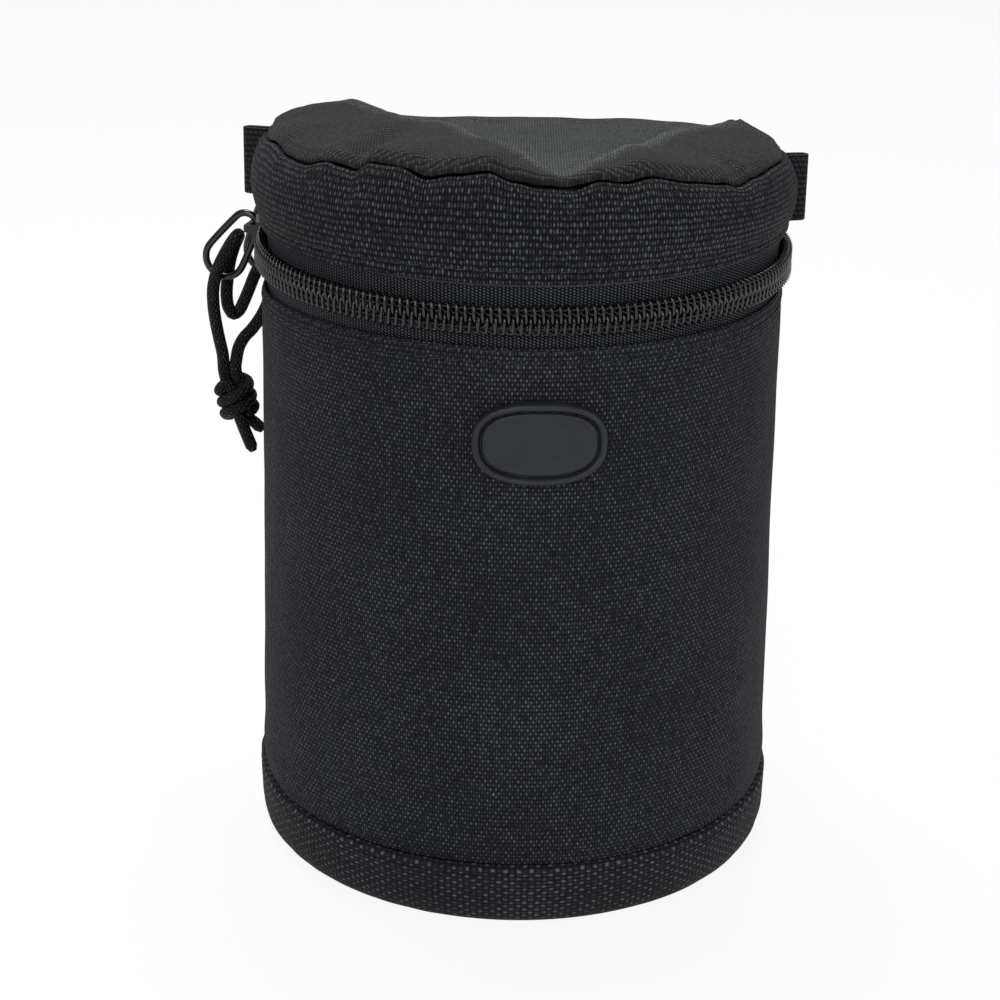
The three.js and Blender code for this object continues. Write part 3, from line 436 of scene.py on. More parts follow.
def weave_finish(name, gap, ground, crest, across, along, depth, under_share=0.5, wander=0.08, sheen=0.0):
    """Plain weave: warp crests in staggered rows over the weft, with painted highlights on the crests and painted shade
    on the weft and gaps between them, uneven, with a rare speck of lint.
    """
    made = finish_of(name, ground, 0.75, sheen=sheen, gloss=0.15)
    u, v, _ = thread_grid(made, across, along, wander)
    both = times(made, wave(made, u), wave(made, v))
    over, under = [sum_of(made, "POWER", sum_of(made, "MAXIMUM", side, 0.0), 0.65)
                   for side in (both, times(made, both, -1.0))]
    threads = scaled(made, under, under_share, over)
    slub = scaled(made, speckle(made, 1100.0, 1.0), 2.2, -0.15)
    patchy = scaled(made, speckle(made, 34.0, 3.0), 0.7, 0.65)
    level = times(made, threads, times(made, slub, patchy))
    halfway = tuple((g * 2 + c) / 3 for g, c in zip(ground, crest))
    # The ramp paints shade into the gaps and the low weft, and highlights onto the thread crests; the slub and patchy
    # noise is the cloth's own uneven tone.
    cloth = shades(made, level, (0.0, gap), (0.35, ground), (0.72, halfway), (1.0, crest))
    specks = wire(made, "ShaderNodeTexVoronoi", Vector=own_place(made), Scale=260.0).outputs
    near = sum_of(made, "LESS_THAN", specks["Distance"], 0.07)
    rare = sum_of(made, "LESS_THAN", wire(made, "ShaderNodeSeparateXYZ", Vector=specks["Color"]).outputs[0], LINT_SHARE)
    fluff = wire(made, "ShaderNodeMix", {"data_type": "RGBA"}, i0=times(made, near, rare), i6=cloth, i7=LINT_COLOUR)
    surface(made, threads, depth, fluff.outputs[2])
    return made


body_section = [(0.0567, 0.0142), (0.0571, 0.0147), (0.0574, 0.0165), (0.0573, 0.03), (0.0567, 0.06), (0.0562, 0.1),
                (0.056, 0.125), (0.05592, 0.1275), (0.0557, 0.1283), (0.0553, 0.12825), (0.0551, 0.1275),
                (0.0551, 0.1262)]
# Colours: painted shade in the gaps, the cloth itself, painted highlights on the crests.
body_weave = weave_finish("body_plain_weave", (0.0025, 0.0028, 0.0041), (0.0088, 0.0098, 0.0131), (0.072, 0.078, 0.091),
                          0.00058, 0.00091, 0.0003, under_share=0.45, wander=0.2)
body_cloth = rolled_cloth("body_wall_cloth", body_weave, body_section, 0.0008, 400, 0.0006, body_drape)
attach(body_cloth, "body")
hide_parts("body_outer_fabric")

# ---- Base band and sole ----
# A 13 mm band of heavy ballistic cloth sewn to the wall's foot, rounded in under
# the pouch, and the flat sole that closes it, in the same cloth.


def band_drape(walk, radius, height):
    radius += 0.00035 * rumple(walk, height, 0.014, 0.016, 2.4) + 0.00016 * rumple(walk, height, 0.005, 0.008, 6.3)
    radius -= 0.00025 * bell(height - 0.0127, 0.0004)
    return radius, height


band_section = [(0.0566, 0.0126), (0.0568, 0.0138), (0.0573, 0.01425), (0.0577, 0.0139), (0.0578, 0.0125),
                (0.05765, 0.009), (0.0573, 0.0048), (0.0567, 0.0027), (0.0559, 0.0015), (0.055, 0.0011),
                (0.0535, 0.001)]
# Colours: painted shade in the gaps, the cloth itself, painted highlights on the crests.
ballistic = weave_finish("ballistic_cloth", (0.0035, 0.0035, 0.0044), (0.0135, 0.0136, 0.0172), (0.1, 0.101, 0.115),
                         0.00135, 0.00082, 0.0006, under_share=0.42, wander=0.2)
base_band = rolled_cloth("base_band_cloth", ballistic, band_section, 0.0007, 360, 0.0007, band_drape)
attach(base_band, "body")
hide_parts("base_band")


def cut_disc(name, finish, radius, height_at, rings, columns, thickness, turned_edge=()):
    """A disc of cloth cut to the plan, with a height at each place and, if asked for, a rolled-down edge."""
    disc = new_grid(name, finish, columns, rings)
    past = len(turned_edge)
    for vertex in disc.data.vertices:
        walk = vertex.co.x * 2 * HALF_WALK
        ring = round((vertex.co.y + 0.5) * rings)
        share, drop = turned_edge[ring] if ring < past else (1 - (ring - past) / (rings - past), 0)
        edge, _ = on_plan(walk, radius)
        x, y = edge.x * share, edge.y * share
        vertex.co = (x, y, height_at(x, y, share, walk) + drop * 0.001)
    uv_map = disc.data.uv_layers.active.data
    for loop in disc.data.loops:
        uv_map[loop.index].uv = disc.data.vertices[loop.vertex_index].co.xy
    weld()
    thicken(disc, thickness)
    return disc


base_sole = cut_disc("base_sole_cloth", ballistic, 0.0553, lambda x, y, share, walk: 0.0011 - 0.0002 * (1 - share),
                     24, 160, 0.0008)
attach(base_sole, "body")
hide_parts("base_panel")

# ---- Body padding and lining ----
# A sleeve of closed-cell foam and a floor pad stand inside the cloth, covered by
# a smooth grey brushed lining that is rolled over the foam at the mouth.


def foam_finish():
    made = finish_of("grey_foam", (0.0423, 0.0423, 0.0452), 0.95, gloss=0.15)
    cells = wire(made, "ShaderNodeTexVoronoi", Vector=own_place(made), Scale=1600.0).outputs["Distance"]
    surface(made, cells, 0.0002, shades(made, cells, (0.0, (0.03, 0.03, 0.032)), (0.7, (0.055, 0.055, 0.058))))
    return made


foam = foam_finish()
foam_section = [(0.0557, 0.0016), (0.0563, 0.012), (0.0562, 0.02), (0.0555, 0.06), (0.0549, 0.1), (0.0544, 0.1205)]
body_foam = rolled_cloth("body_foam_sleeve", foam, foam_section, 0.002, 140, 0.0052)
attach(body_foam, "body")
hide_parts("body_foam")

base_foam = cut_disc("base_foam_pad", foam, 0.0492,
                     lambda x, y, share, walk: 0.0071 - 0.0006 * max(0, share - 0.9) * 10, 16, 120, 0.0056)
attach(base_foam, "body")
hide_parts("base_foam")


def lining_finish():
    """Brushed lining: a soft brushed pile with no thread to be seen, a little lighter where it is rubbed."""
    made = finish_of("brushed_lining", (0.09, 0.097, 0.106), 0.95, sheen=0.15, gloss=0.15)
    nap_and_painted_light, rub = speckle(made, 2400.0, 3.0), speckle(made, 40.0, 4.0)
    mixed = scaled(made, rub, 0.5, times(made, nap_and_painted_light, 0.5))
    surface(made, nap_and_painted_light, 0.0002, shades(made, mixed, (0.3, (0.06, 0.066, 0.074)), (0.7, (0.125, 0.134, 0.146))))
    return made


def lining_drape(walk, radius, height):
    return radius + 0.0003 * rumple(walk, height, 0.016, 0.02, 8.8), height


lining = lining_finish()
mouth_section = [(0.0538, 0.122), (0.054, 0.127), (0.0537, 0.1293), (0.0524, 0.1296), (0.0503, 0.129),
                 (0.0493, 0.127), (0.0493, 0.1), (0.0493, 0.05), (0.0493, 0.0079)]
body_lining = rolled_cloth("body_lining_cloth", lining, mouth_section, 0.0013, 200, -0.0007, lining_drape)
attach(body_lining, "body")
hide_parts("body_lining")

base_lining = cut_disc("base_lining_cloth", lining, 0.0484,
                       lambda x, y, share, walk: 0.0083 + 0.0003 * noise.noise(Vector((x, y, 0.3)) * 60),
                       20, 120, 0.0007)
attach(base_lining, "body")
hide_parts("base_lining")

# ---- Lid ----
# The same cloth in a coarser weave: a wall that puffs out over thin foam, gathered
# into a wavy seam under a slack padded crown that dips behind the front.
LID_EDGE = 0.1409
LID_RISE = 0.0171
LID_SEAM = 0.1431
CROWN_SEAM = 0.1583
SEAM_WAVE = [(-110, 0.2), (-85, 0.3), (-69, 1.6), (-62, 0.1), (-53, -0.3), (-45, 1.0), (-41, 0.5), (-37, 0.1),
             (-33, 1.7), (-26.5, 1.5), (-20, -0.2), (-14, 0.6), (-7, 1.3), (-2, 0.0), (3, -0.8), (9.5, -1.0),
             (15.5, 0.5), (21, 0.2), (27, 1.1), (37, 0.0), (46, -0.7), (51.5, -1.5), (57.5, -0.5), (70, 0.6),
             (85, -0.3), (110, 0.2)]


def lid_rise(x, y, height):
    """How much the lid stands higher in front, and lower at the back, than a level one."""
    front = -y / PLAN_RADIUS
    change = 0.005 * front * front if front > 0 else 0.0064 * front
    change -= 0.001 * x / PLAN_RADIUS * (1 + 1.3 * min(0, front))
    return change * max(0, height - LID_EDGE) / LID_RISE


def seam_wave(walk):
    """The seam's own rise and fall, in metres, at that walk."""
    turn = turn_of(walk)
    rise = 0.7 * rumple(walk, 0, 0.011, 1, 4.2)
    for (a, low), (b, high) in zip(SEAM_WAVE, SEAM_WAVE[1:]):
        if a <= turn <= b:
            t = (turn - a) / (b - a)
            rise = low + (high - low) * t * t * (3 - 2 * t)
    return rise * 0.001


def lid_drape(walk, radius, height):
    near_seam = clamp((height - 0.149) / 0.0076)
    radius += 0.0009 * near_seam * rumple(walk, height, 0.0065, 0.05, 2.2) * (1.2 - near_seam)
    radius += 0.0006 * rumple(walk, height, 0.03, 0.012, 5.5) * bell(height - 0.149, 0.008)
    radius -= 0.00045 * bell(height - LID_SEAM, 0.0005)
    radius += 0.00018 * bell(height - 0.1441, 0.001) * rumple(walk, height, 0.0035, 0.02, 1.3)
    sunk = 0.001 * low_left(walk) * (1 - near_seam) * clamp((0.149 - height) / 0.006)
    puckers = 0.0005 * bell(height - 0.1555, 0.0016) * max(0, rumple(walk, height, 0.0028, 0.05, 6.1))
    return radius + puckers, height - sunk + seam_wave(walk) * near_seam * near_seam


lid_section = [(0.0556, 0.1425), (0.0557, 0.1413), (0.0561, 0.1409), (0.0565, 0.1413), (0.0567, 0.1425),
               (0.0574, 0.1448), (0.058, 0.1478), (0.0578, 0.151), (0.0567, 0.154), (0.0556, 0.156),
               (0.0546, 0.1566), (0.0537, 0.1562), (0.053, 0.155), (0.0524, 0.1542)]
# Colours: painted shade in the gaps, the cloth itself, painted highlights on the crests.
lid_weave = weave_finish("lid_coarse_weave", (0.0016, 0.0018, 0.0026), (0.0066, 0.0073, 0.0095), (0.088, 0.095, 0.109),
                         0.00064, 0.00107, 0.0006, under_share=0.62, wander=0.26)
lid_wall = rolled_cloth("lid_wall_cloth", lid_weave, lid_section, 0.0007, 460, 0.0006, lid_drape, raise_by=lid_rise)
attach(lid_wall, "lid")
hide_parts("lid_wall_fabric")


def gentle(value):
    """0 below 0, 1 above 1, and a smooth rise between."""
    value = clamp(value)
    return value * value * (3 - 2 * value)


CREST = [(-44, 50), (-40, 30), (-38, 15), (-40, 4), (-34, -1), (-24, -12), (-17, -16), (-8.5, -34), (-1, -44),
         (8.3, -50), (13.5, -46), (21.5, -36), (31, -12), (41.5, 0), (46, 14), (44, 50)]
DIP = Vector((8.3, -50))
FOLD = (Vector((-34, -42)), Vector((-25, -17)))
CROWN_EDGE = [(1.004, -1.7), (1.012, -1.5), (1.014, -1.0), (1.009, -0.4)]


def off_line(here, a, b):
    """Millimetres from a place to a straight line between two others."""
    along = min(1, max(0, (here - a).dot(b - a) / (b - a).length_squared))
    return (here - a - (b - a) * along).length


crest_line = smooth_line([(x, y, 0) for x, y in CREST], 0.5, closed=True)[:-1]
crest_tree = kdtree.KDTree(len(crest_line))
for i, place in enumerate(crest_line):
    crest_tree.insert(place, i)
crest_tree.balance()


def past_crest(here):
    """Millimetres from the crest round the crown's slack hollow: above 0 outside it, below 0 in the hollow."""
    place, i, away = crest_tree.find((here.x, here.y, 0))
    ahead = crest_line[(i + 1) % len(crest_line)] - crest_line[i - 1]
    return -away if ahead.x * (here.y - place.y) > ahead.y * (here.x - place.x) else away


def crown_height(x, y, share, walk):
    """Soft lobes that swell from the seam to a crest, and a slack hollow behind it that meets the seam at one dip."""
    seam = CROWN_SEAM + lid_rise(x, y, CROWN_SEAM) + seam_wave(walk) * max(0, min(1, share) * 3 - 2)
    here = Vector((x, y)) * 1000
    past = past_crest(here)
    from_edge = max(0, 1 - share) * 53.6
    puff = (0.0048 - 0.000014 * here.x) * (1 - 0.9 * bell((here - DIP).length, 11))
    puff = puff * (1 - 0.3 * gentle((here.y + here.x / 2 - 15) / 25)) * (1 - gentle((here.y - 14) / 34))
    if past > 0:
        swell = puff * (from_edge / (from_edge + past)) ** 0.45
    else:
        sunk = gentle(-past / (9 + 7 * gentle((-here.x - 22) / 10)))
        floor_level = -0.0009 * (1 - gentle((here.y - 15) / 20) * gentle((here.x - 12) / 20))
        swell = (puff * (1 - sunk) + floor_level * sunk) * min(1, from_edge / 5)
    swell -= 0.0024 * bell(off_line(here, *FOLD), 3) * min(1, from_edge / 4) * gentle((here - FOLD[1]).length / 12)
    slack = 0.0005 * noise.noise(Vector((x, y, 0.1)) * 90) + 0.00025 * noise.noise(Vector((x, y, 0.7)) * 220)
    puckers = 0.0004 * rumple(walk, 0, 0.0035, 1, 8.3) * gentle((share - 0.86) / 0.1) * gentle(-here.y / 20)
    return seam + swell + slack * min(1, from_edge / 6) + puckers


# The crown's cloth is the lid's cloth with lighter colours painted in, as painted light from above on the lid's top,
# over the weave's painted shade and highlights.
crown_weave_painted_light = weave_finish("crown_cloth_painted_light", (0.009, 0.0101, 0.0109), (0.023, 0.0256, 0.0268), (0.095, 0.101, 0.106),
                           0.00058, 0.0009, 0.0005, wander=0.25, sheen=0.05)
lid_crown = cut_disc("lid_crown_cloth", crown_weave_painted_light, 0.0536, crown_height, 90, 420, 0.0006, CROWN_EDGE)
LOBE_PAINTED_SHADE = 0.42
# Painted light on the crown's cloth: painted shade on the lobes, painted light in the hollow, lighter near the dip, and
# a painted highlight along the crest.
nap_and_painted_light = lid_crown.data.attributes.new("nap_and_painted_light", "FLOAT", "POINT")
for vertex in lid_crown.data.vertices:
    here = vertex.co.xy * 1000
    past = past_crest(here)
    hollow = 1.1 + 0.6 * bell((here - Vector((8.3, -46))).length, 30)
    crest_painted_highlight = 0.9 * bell(past, 1.8) * gentle(0.5 - here.y / 30)
    nap_and_painted_light.data[vertex.index].value = LOBE_PAINTED_SHADE + (hollow - LOBE_PAINTED_SHADE) * gentle(0.5 - past / 6) + crest_painted_highlight
# The painted light and shade multiply the crown cloth's colour.
painted_light_level = wire(crown_weave_painted_light, "ShaderNodeAttribute", {"attribute_name": "nap_and_painted_light"}).outputs["Fac"]
base_colour = crown_weave_painted_light.node_tree.nodes["Principled BSDF"].inputs["Base Color"]
painted_light_mix = wire(crown_weave_painted_light, "ShaderNodeMix", {"data_type": "RGBA", "blend_type": "MULTIPLY"},
           i0=1.0, i6=base_colour.links[0].from_socket, i7=painted_light_level)
crown_weave_painted_light.node_tree.links.new(painted_light_mix.outputs[2], base_colour)
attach(lid_crown, "lid")
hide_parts("lid_top_fabric")

# ---- Lid padding and lining ----
# Thin foam in the lid's wall and crown, and the same brushed lining over it,
# rolled over the foam at the lid's mouth.
foam_section = [(0.0556, 0.1405), (0.0563, 0.1445), (0.0568, 0.148), (0.056, 0.1525), (0.0545, 0.1548)]
lid_foam = rolled_cloth("lid_foam_band", foam, foam_section, 0.0016, 140, 0.0036, raise_by=lid_rise)
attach(lid_foam, "lid")
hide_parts("lid_wall_foam")

crown_foam = cut_disc("lid_crown_pad", foam, 0.0512, lambda x, y, share, walk: 0.1555 + lid_rise(x, y, 0.1555),
                      20, 120, 0.0028)
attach(crown_foam, "lid")
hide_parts("lid_top_foam")

mouth_section = [(0.0493, 0.1512), (0.0493, 0.1465), (0.0494, 0.1412), (0.0502, 0.1389), (0.052, 0.1382),
                 (0.0537, 0.1385), (0.0541, 0.1402), (0.0539, 0.1435)]
lid_lining = rolled_cloth("lid_lining_cloth", lining, mouth_section, 0.0011, 200, -0.0007, lining_drape,
                          raise_by=lid_rise)
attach(lid_lining, "lid")
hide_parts("lid_wall_lining")

crown_lining = cut_disc("lid_crown_lining", lining, 0.0491,
                        lambda x, y, share, walk: 0.1519 + lid_rise(x, y, 0.1519) - 0.0008 * (1 - share),
                        20, 120, 0.0007)
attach(crown_lining, "lid")
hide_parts("lid_top_lining")

# ---- Zip tapes ----
# Flat woven polyester tape in close upright ribs, one sewn behind the wall's edge
# and one behind the lid's, each carrying a row of coil on its free edge.
ZIP_HEIGHT = 0.134
TAPE_WALKS = (walk_of(-127), walk_of(127))


def tape_finish():
    made = finish_of("ribbed_tape", (0.011, 0.0121, 0.0158), 0.75, gloss=0.15)
    u, v, _ = thread_grid(made, 0.0008, 0.00062, wander=0.12)
    threads = times(made, *ribs_and_picks(made, u, v))
    # The ramp paints shade between the ribs and picks and highlights on their crests.
    colour = shades(made, threads, (0.05, (0.0025, 0.0029, 0.0042)), (0.5, (0.013, 0.0146, 0.0195)),
                    (0.95, (0.095, 0.103, 0.122)))
    surface(made, threads, 0.0004, colour)
    return made


def tape_drape(walk, radius, height):
    return radius + 0.00012 * rumple(walk, height, 0.01, 0.01, 3.3), height


tape_cloth = tape_finish()
for name, low, high, body in (("lower_zip_tape_woven", 0.1224, 0.1325, "body"),
                              ("upper_zip_tape_woven", 0.1355, 0.1456, "lid")):
    tape_section = [(0.0548, low), (0.055, (low + high) / 2), (0.0551, high)]
    tape = rolled_cloth(name, tape_cloth, tape_section, 0.0008, 300, 0.0006, tape_drape, TAPE_WALKS)
    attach(tape, body)
    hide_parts("lower_zip_tape" if body == "body" else "upper_zip_tape")

# ---- Zip coil ----
# Two rows of black nylon wire wound into close turns whose heads lock together,
# each row sewn to its tape by two threads that pass over every turn.
PITCH = 0.0017
COIL_TURN = 125.0
COIL_BACK = 0.0553
COIL_WIRE = 0.00034
COIL_THREAD = 0.00013


def on_zip(along, out, up):
    """A place by its walk along the zip, metres out from the coil's back and metres above the zip's middle."""
    place, _ = on_plan(along, COIL_BACK + out)
    return Vector((place.x, place.y, ZIP_HEIGHT + up))


def coil_finish():
    made = finish_of("nylon_coil", (0.004, 0.0045, 0.0058), 0.15, gloss=0.6)
    worn = speckle(made, 700.0, 2.0)
    colour = shades(made, worn, (0.3, (0.0025, 0.0028, 0.0036)), (0.7, (0.0065, 0.0072, 0.009)))
    surface(made, worn, 0.00005, colour, scaled(made, worn, 0.2, 0.04))
    return made


def thread_finish():
    made = finish_of("sewing_thread", (0.016, 0.0172, 0.02), 0.5, gloss=0.3)
    twist = speckle(made, 2600.0, 2.0)
    surface(made, twist, 0.0001, shades(made, twist, (0.3, (0.009, 0.0097, 0.0115)), (0.7, (0.028, 0.03, 0.034))))
    return made


coil_nylon, thread = coil_finish(), thread_finish()
TURN_OF_WIRE = [(-0.42, 0.3, -0.15), (-0.42, 0.3, 1.9), (-0.34, 0.65, 2.75), (-0.16, 1.35, 2.98), (0.0, 1.85, 2.5),
                (0.12, 2.0, 1.5), (0.2, 2.05, 0.3), (0.22, 1.75, -0.55), (0.16, 1.15, -0.78), (-0.1, 0.55, -0.5)]
half_length = walk_of(COIL_TURN)
turns = int(2 * half_length / PITCH)


def repeated(name, shapes, finish):
    """One piece from many small copies of a mesh, each given as lists of corners and faces."""
    corners, faces = [], []
    for own_corners, own_faces in shapes:
        faces += [[len(corners) + i for i in face] for face in own_faces]
        corners += own_corners
    mesh = bpy.data.meshes.new(name)
    mesh.from_pydata(corners, [], faces)
    mesh.polygons.foreach_set("use_smooth", [True] * len(mesh.polygons))
    mesh.materials.append(finish)
    return in_scene(name, mesh)


def thin_wire(line, radius, sides):
    """Corners and faces of a short closed wire along a line."""
    short = tube("wire_sample", line, [radius] * len(line), sides)
    corners = [v.co.copy() for v in short.data.vertices]
    faces = [list(f.vertices) for f in short.data.polygons]
    bpy.data.meshes.remove(short.data)
    return corners, faces


sample = thin_wire([Vector(p) * 0.001 for p in TURN_OF_WIRE], COIL_WIRE, 6)
for name, way, shift, body, node in (("lower_coil_row", -1, 0.5, "body", "lower_coil"),
                                     ("upper_coil_row", 1, 0.0, "lid", "upper_coil")):
    wound = []
    for i in range(turns):
        middle = -half_length + PITCH * (i + 0.25 + shift)
        corners = [on_zip(middle + c.x, c.y, way * c.z) for c in sample[0]]
        wound.append((corners, sample[1] if way > 0 else [f[::-1] for f in sample[1]]))
    coil = repeated(name, wound, coil_nylon)
    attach(coil, body)
    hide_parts(node)
    for which, rise, sway in (("outer", 2.3, 0.22), ("inner", 1.45, -0.22)):
        line = []
        for i in range(turns * 4 + 1):
            beat = i % 4
            along = -half_length + PITCH * (i / 4 + shift)
            out = 0.00222 + (0.00015, -0.0002, -0.0005, -0.0002)[beat]
            line.append(on_zip(along, out, way * (rise + sway * (1, 0, -1, 0)[beat]) * 0.001))
        sewn = tube(f"{name}_{which}_thread", line, [COIL_THREAD] * len(line), 5)
        sewn.data.materials.append(thread)
        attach(sewn, body)

# ---- Zip ends and hinge panel ----
# Where the zip stops, a small folded tab closes each end, and a strip of the body
# cloth across the back joins lid and wall, as the lid's hinge.
tab_section = [(0.0551, 0.1303), (0.0566, 0.1306), (0.0571, 0.132), (0.0571, 0.1335), (0.0566, 0.1346),
               (0.0551, 0.1349)]
for name, side in (("zip_end_tab_left", -1), ("zip_end_tab_right", 1)):
    middle = side * walk_of(126.4)
    span = (middle - 0.0021, middle + 0.0021)
    tab = rolled_cloth(name + "_cloth", body_weave, tab_section, 0.0005, 10, 0.0007, None, span)
    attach(tab, "body")
    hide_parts(name)

PANEL_REACH = HALF_WALK - (FRONT_WALK - 0.0005)
PANEL_FOOT, PANEL_TOP = 0.1222, 0.1458


def on_back(walk, radius):
    """The plan again, with the walk measured from the middle of the back."""
    return on_plan(HALF_WALK - walk if walk >= 0 else -HALF_WALK - walk, radius)


hinge_panel = new_grid("hinge_panel_cloth", body_weave, 120, 24)
for corner in hinge_panel.data.uv_layers.active.data:
    corner.uv = ((corner.uv.x - 0.5) * 2 * PANEL_REACH, corner.uv.y * (PANEL_TOP - PANEL_FOOT))
for vertex in hinge_panel.data.vertices:
    walk, height = -vertex.co.x * 2 * PANEL_REACH, PANEL_FOOT + (vertex.co.y + 0.5) * (PANEL_TOP - PANEL_FOOT)
    crease = 0.0005 * bell(height - ZIP_HEIGHT, 0.0018)
    place, _ = on_back(walk, 0.0551 + 0.0003 * rumple(walk, height, 0.014, 0.012, 6.6) - crease)
    vertex.co = (place.x, place.y, height)
thicken(hinge_panel, 0.0006)
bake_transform(hinge_panel)
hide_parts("hinge_panel")

# ---- Webbing ----
# A doubled tab of ribbed webbing on each side of the lid, for a strap's clip, and
# a wide belt strap sewn flat to the back at its two ends and left free between.


def webbing_finish():
    made = finish_of("ribbed_webbing", (0.013, 0.0145, 0.0175), 0.7, gloss=0.2)
    u, v, _ = thread_grid(made, 0.0012, 0.0011, wander=0.06)
    rib, pick = ribs_and_picks(made, u, v)
    threads = times(made, sum_of(made, "POWER", rib, 0.6), scaled(made, pick, 0.5, 0.5))
    # The ramp paints shade between the ribs and highlights on their crests.
    colour = shades(made, threads, (0.05, (0.001, 0.0011, 0.0018)), (0.55, (0.0044, 0.005, 0.0066)),
                    (0.95, (0.019, 0.021, 0.0255)))
    surface(made, threads, 0.0004, colour)
    return made


webbing = webbing_finish()


def webbing_strap(name, route, width, thickness, place, columns=12):
    """Webbing along a route of flat points; place turns (route x, route y, across) into the pouch's frame."""
    line = smooth_line([(a, b, 0) for a, b in route], FINE_STEP)
    rows = len(line) - 1
    strap = new_grid(name, webbing, columns, rows)
    for corner in strap.data.uv_layers.active.data:
        corner.uv = (corner.uv.x * width, corner.uv.y * rows * FINE_STEP)
    for vertex in strap.data.vertices:
        point = line[round((vertex.co.y + 0.5) * rows)]
        vertex.co = place(point.x, point.y, vertex.co.x * width)
    thicken(strap, thickness, 0)
    edge = strap.modifiers.new("soft edges", "BEVEL")
    edge.width = thickness * 0.3
    edge.segments = 2
    edge.limit_method = "ANGLE"
    edge.angle_limit = math.radians(50)
    bpy.ops.object.modifier_apply(modifier=edge.name)
    bpy.ops.object.shade_smooth()
    return strap


for name, side, height, reach in (("webbing_tab_left", -1, 0.149, 0.0005), ("webbing_tab_right", 1, 0.1453, 0.001)):
    turn = Matrix.Rotation(side * math.radians(102), 3, "Z")
    going_out = [(-0.001, 0.0542), (-0.001, 0.057), (-0.001, 0.0598 + reach), (-0.0008, 0.0612 + reach)]
    route = going_out + [(0, 0.0617 + reach)] + [(-a, b) for a, b in going_out[::-1]]
    tab = webbing_strap(name, route, 0.0146, 0.0011,
                        lambda a, b, c, turn=turn, height=height: turn @ Vector((a, -b, height + c)))
    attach(tab, "lid")
    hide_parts(name.replace("tab", "loop"))

strap_route = [(0.0443, 0.0455), (0.0443, 0.05), (0.04455, 0.0535), (0.047, 0.0585), (0.0486, 0.066), (0.049, 0.079),
               (0.0486, 0.092), (0.0468, 0.0995), (0.0441, 0.1045), (0.0436, 0.108), (0.0434, 0.1125)]
belt_strap = webbing_strap("belt_strap", strap_route, 0.0298, 0.0012, lambda a, b, c: Vector((-c, a, b)), 16)
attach(belt_strap, "body")
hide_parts("belt_loop")

# ---- Rubber patch ----
# An oval of moulded rubber on the front, sewn on through a groove inside its
# raised rim, with a plain smooth face.
PATCH_MIDDLE = (walk_of(4.25), 0.1088)
PATCH_HALF = (0.01385, 0.00875)
PATCH_RIM = 0.0025
PATCH_STEPS = [(0.0, 0.0), (0.03, 0.45), (0.14, 0.95), (0.34, 1.35), (0.62, 1.62), (0.95, 1.7), (1.3, 1.62),
               (1.55, 1.3), (1.7, 0.8), (1.82, 0.4), (2.0, 0.33), (2.15, 0.5), (2.25, 0.9), (2.34, 1.08),
               (2.5, 1.14), (3.4, 1.16), (5.0, 1.17), (6.6, 1.18), (8.75, 1.18)]


def patch_outline(turn, inset):
    """A place on the patch's outline, set in evenly by so many metres."""
    power = 2 / 2.5
    ways = (math.cos(turn), math.sin(turn))
    edge = Vector([math.copysign(abs(w) ** power, w) * half for w, half in zip(ways, PATCH_HALF)])
    out = Vector([math.copysign(abs(w) ** (2 - power), w) / half for w, half in zip(ways, PATCH_HALF)]).normalized()
    even = min(inset, PATCH_RIM)
    return (edge - out * even) * (1 - (inset - even) / (PATCH_HALF[1] - PATCH_RIM))


def patch_place(flat, out):
    place, _ = on_plan(PATCH_MIDDLE[0] + flat.x, 0.05635 + out)
    return Vector((place.x, place.y, PATCH_MIDDLE[1] + flat.y))


def rubber_finish():
    made = finish_of("patch_rubber", (0.024, 0.0262, 0.03), 0.5, gloss=0.3)
    cloudy = speckle(made, 180.0, 4.0, Roughness=0.6)
    colour = shades(made, cloudy, (0.3, (0.009, 0.0101, 0.0117)), (0.7, (0.0165, 0.0184, 0.0208)))
    surface(made, speckle(made, 2200.0, 3.0), 0.00008, colour, scaled(made, cloudy, 0.3, 0.28))
    return made


rings = len(PATCH_STEPS) - 1
patch = new_grid("label_patch_plain", rubber_finish(), 120, rings)
flat_places = {}
for vertex in patch.data.vertices:
    inset, out = PATCH_STEPS[rings - round((vertex.co.y + 0.5) * rings)]
    flat_places[vertex.index] = patch_outline(-vertex.co.x * 2 * math.pi, inset * 0.001)
    vertex.co = patch_place(flat_places[vertex.index], out * 0.001)
for loop in patch.data.loops:
    patch.data.uv_layers.active.data[loop.index].uv = flat_places[loop.vertex_index]
weld()
bpy.ops.object.mode_set(mode="EDIT")
bpy.ops.mesh.select_all(action="DESELECT")
bpy.ops.mesh.select_non_manifold()
bpy.ops.mesh.fill()
bpy.ops.mesh.select_all(action="SELECT")
bpy.ops.mesh.normals_make_consistent(inside=False)
bpy.ops.object.mode_set(mode="OBJECT")
bpy.ops.object.shade_smooth_by_angle(angle=math.radians(50))
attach(patch, "body")
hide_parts("label_patch")

# ---- Topstitching ----
# Black lock stitches, about three millimetres long, each a short bowed thread
# that sinks into the cloth at both ends.


STITCH_THREAD = 0.00015
STITCH_SLANT = 0.0001
STITCH_ARC = ((0, -0.9, -1), (0.12, 0.6, -0.8), (0.5, 1.0, 0), (0.88, 0.6, 0.8), (1, -0.9, 1))


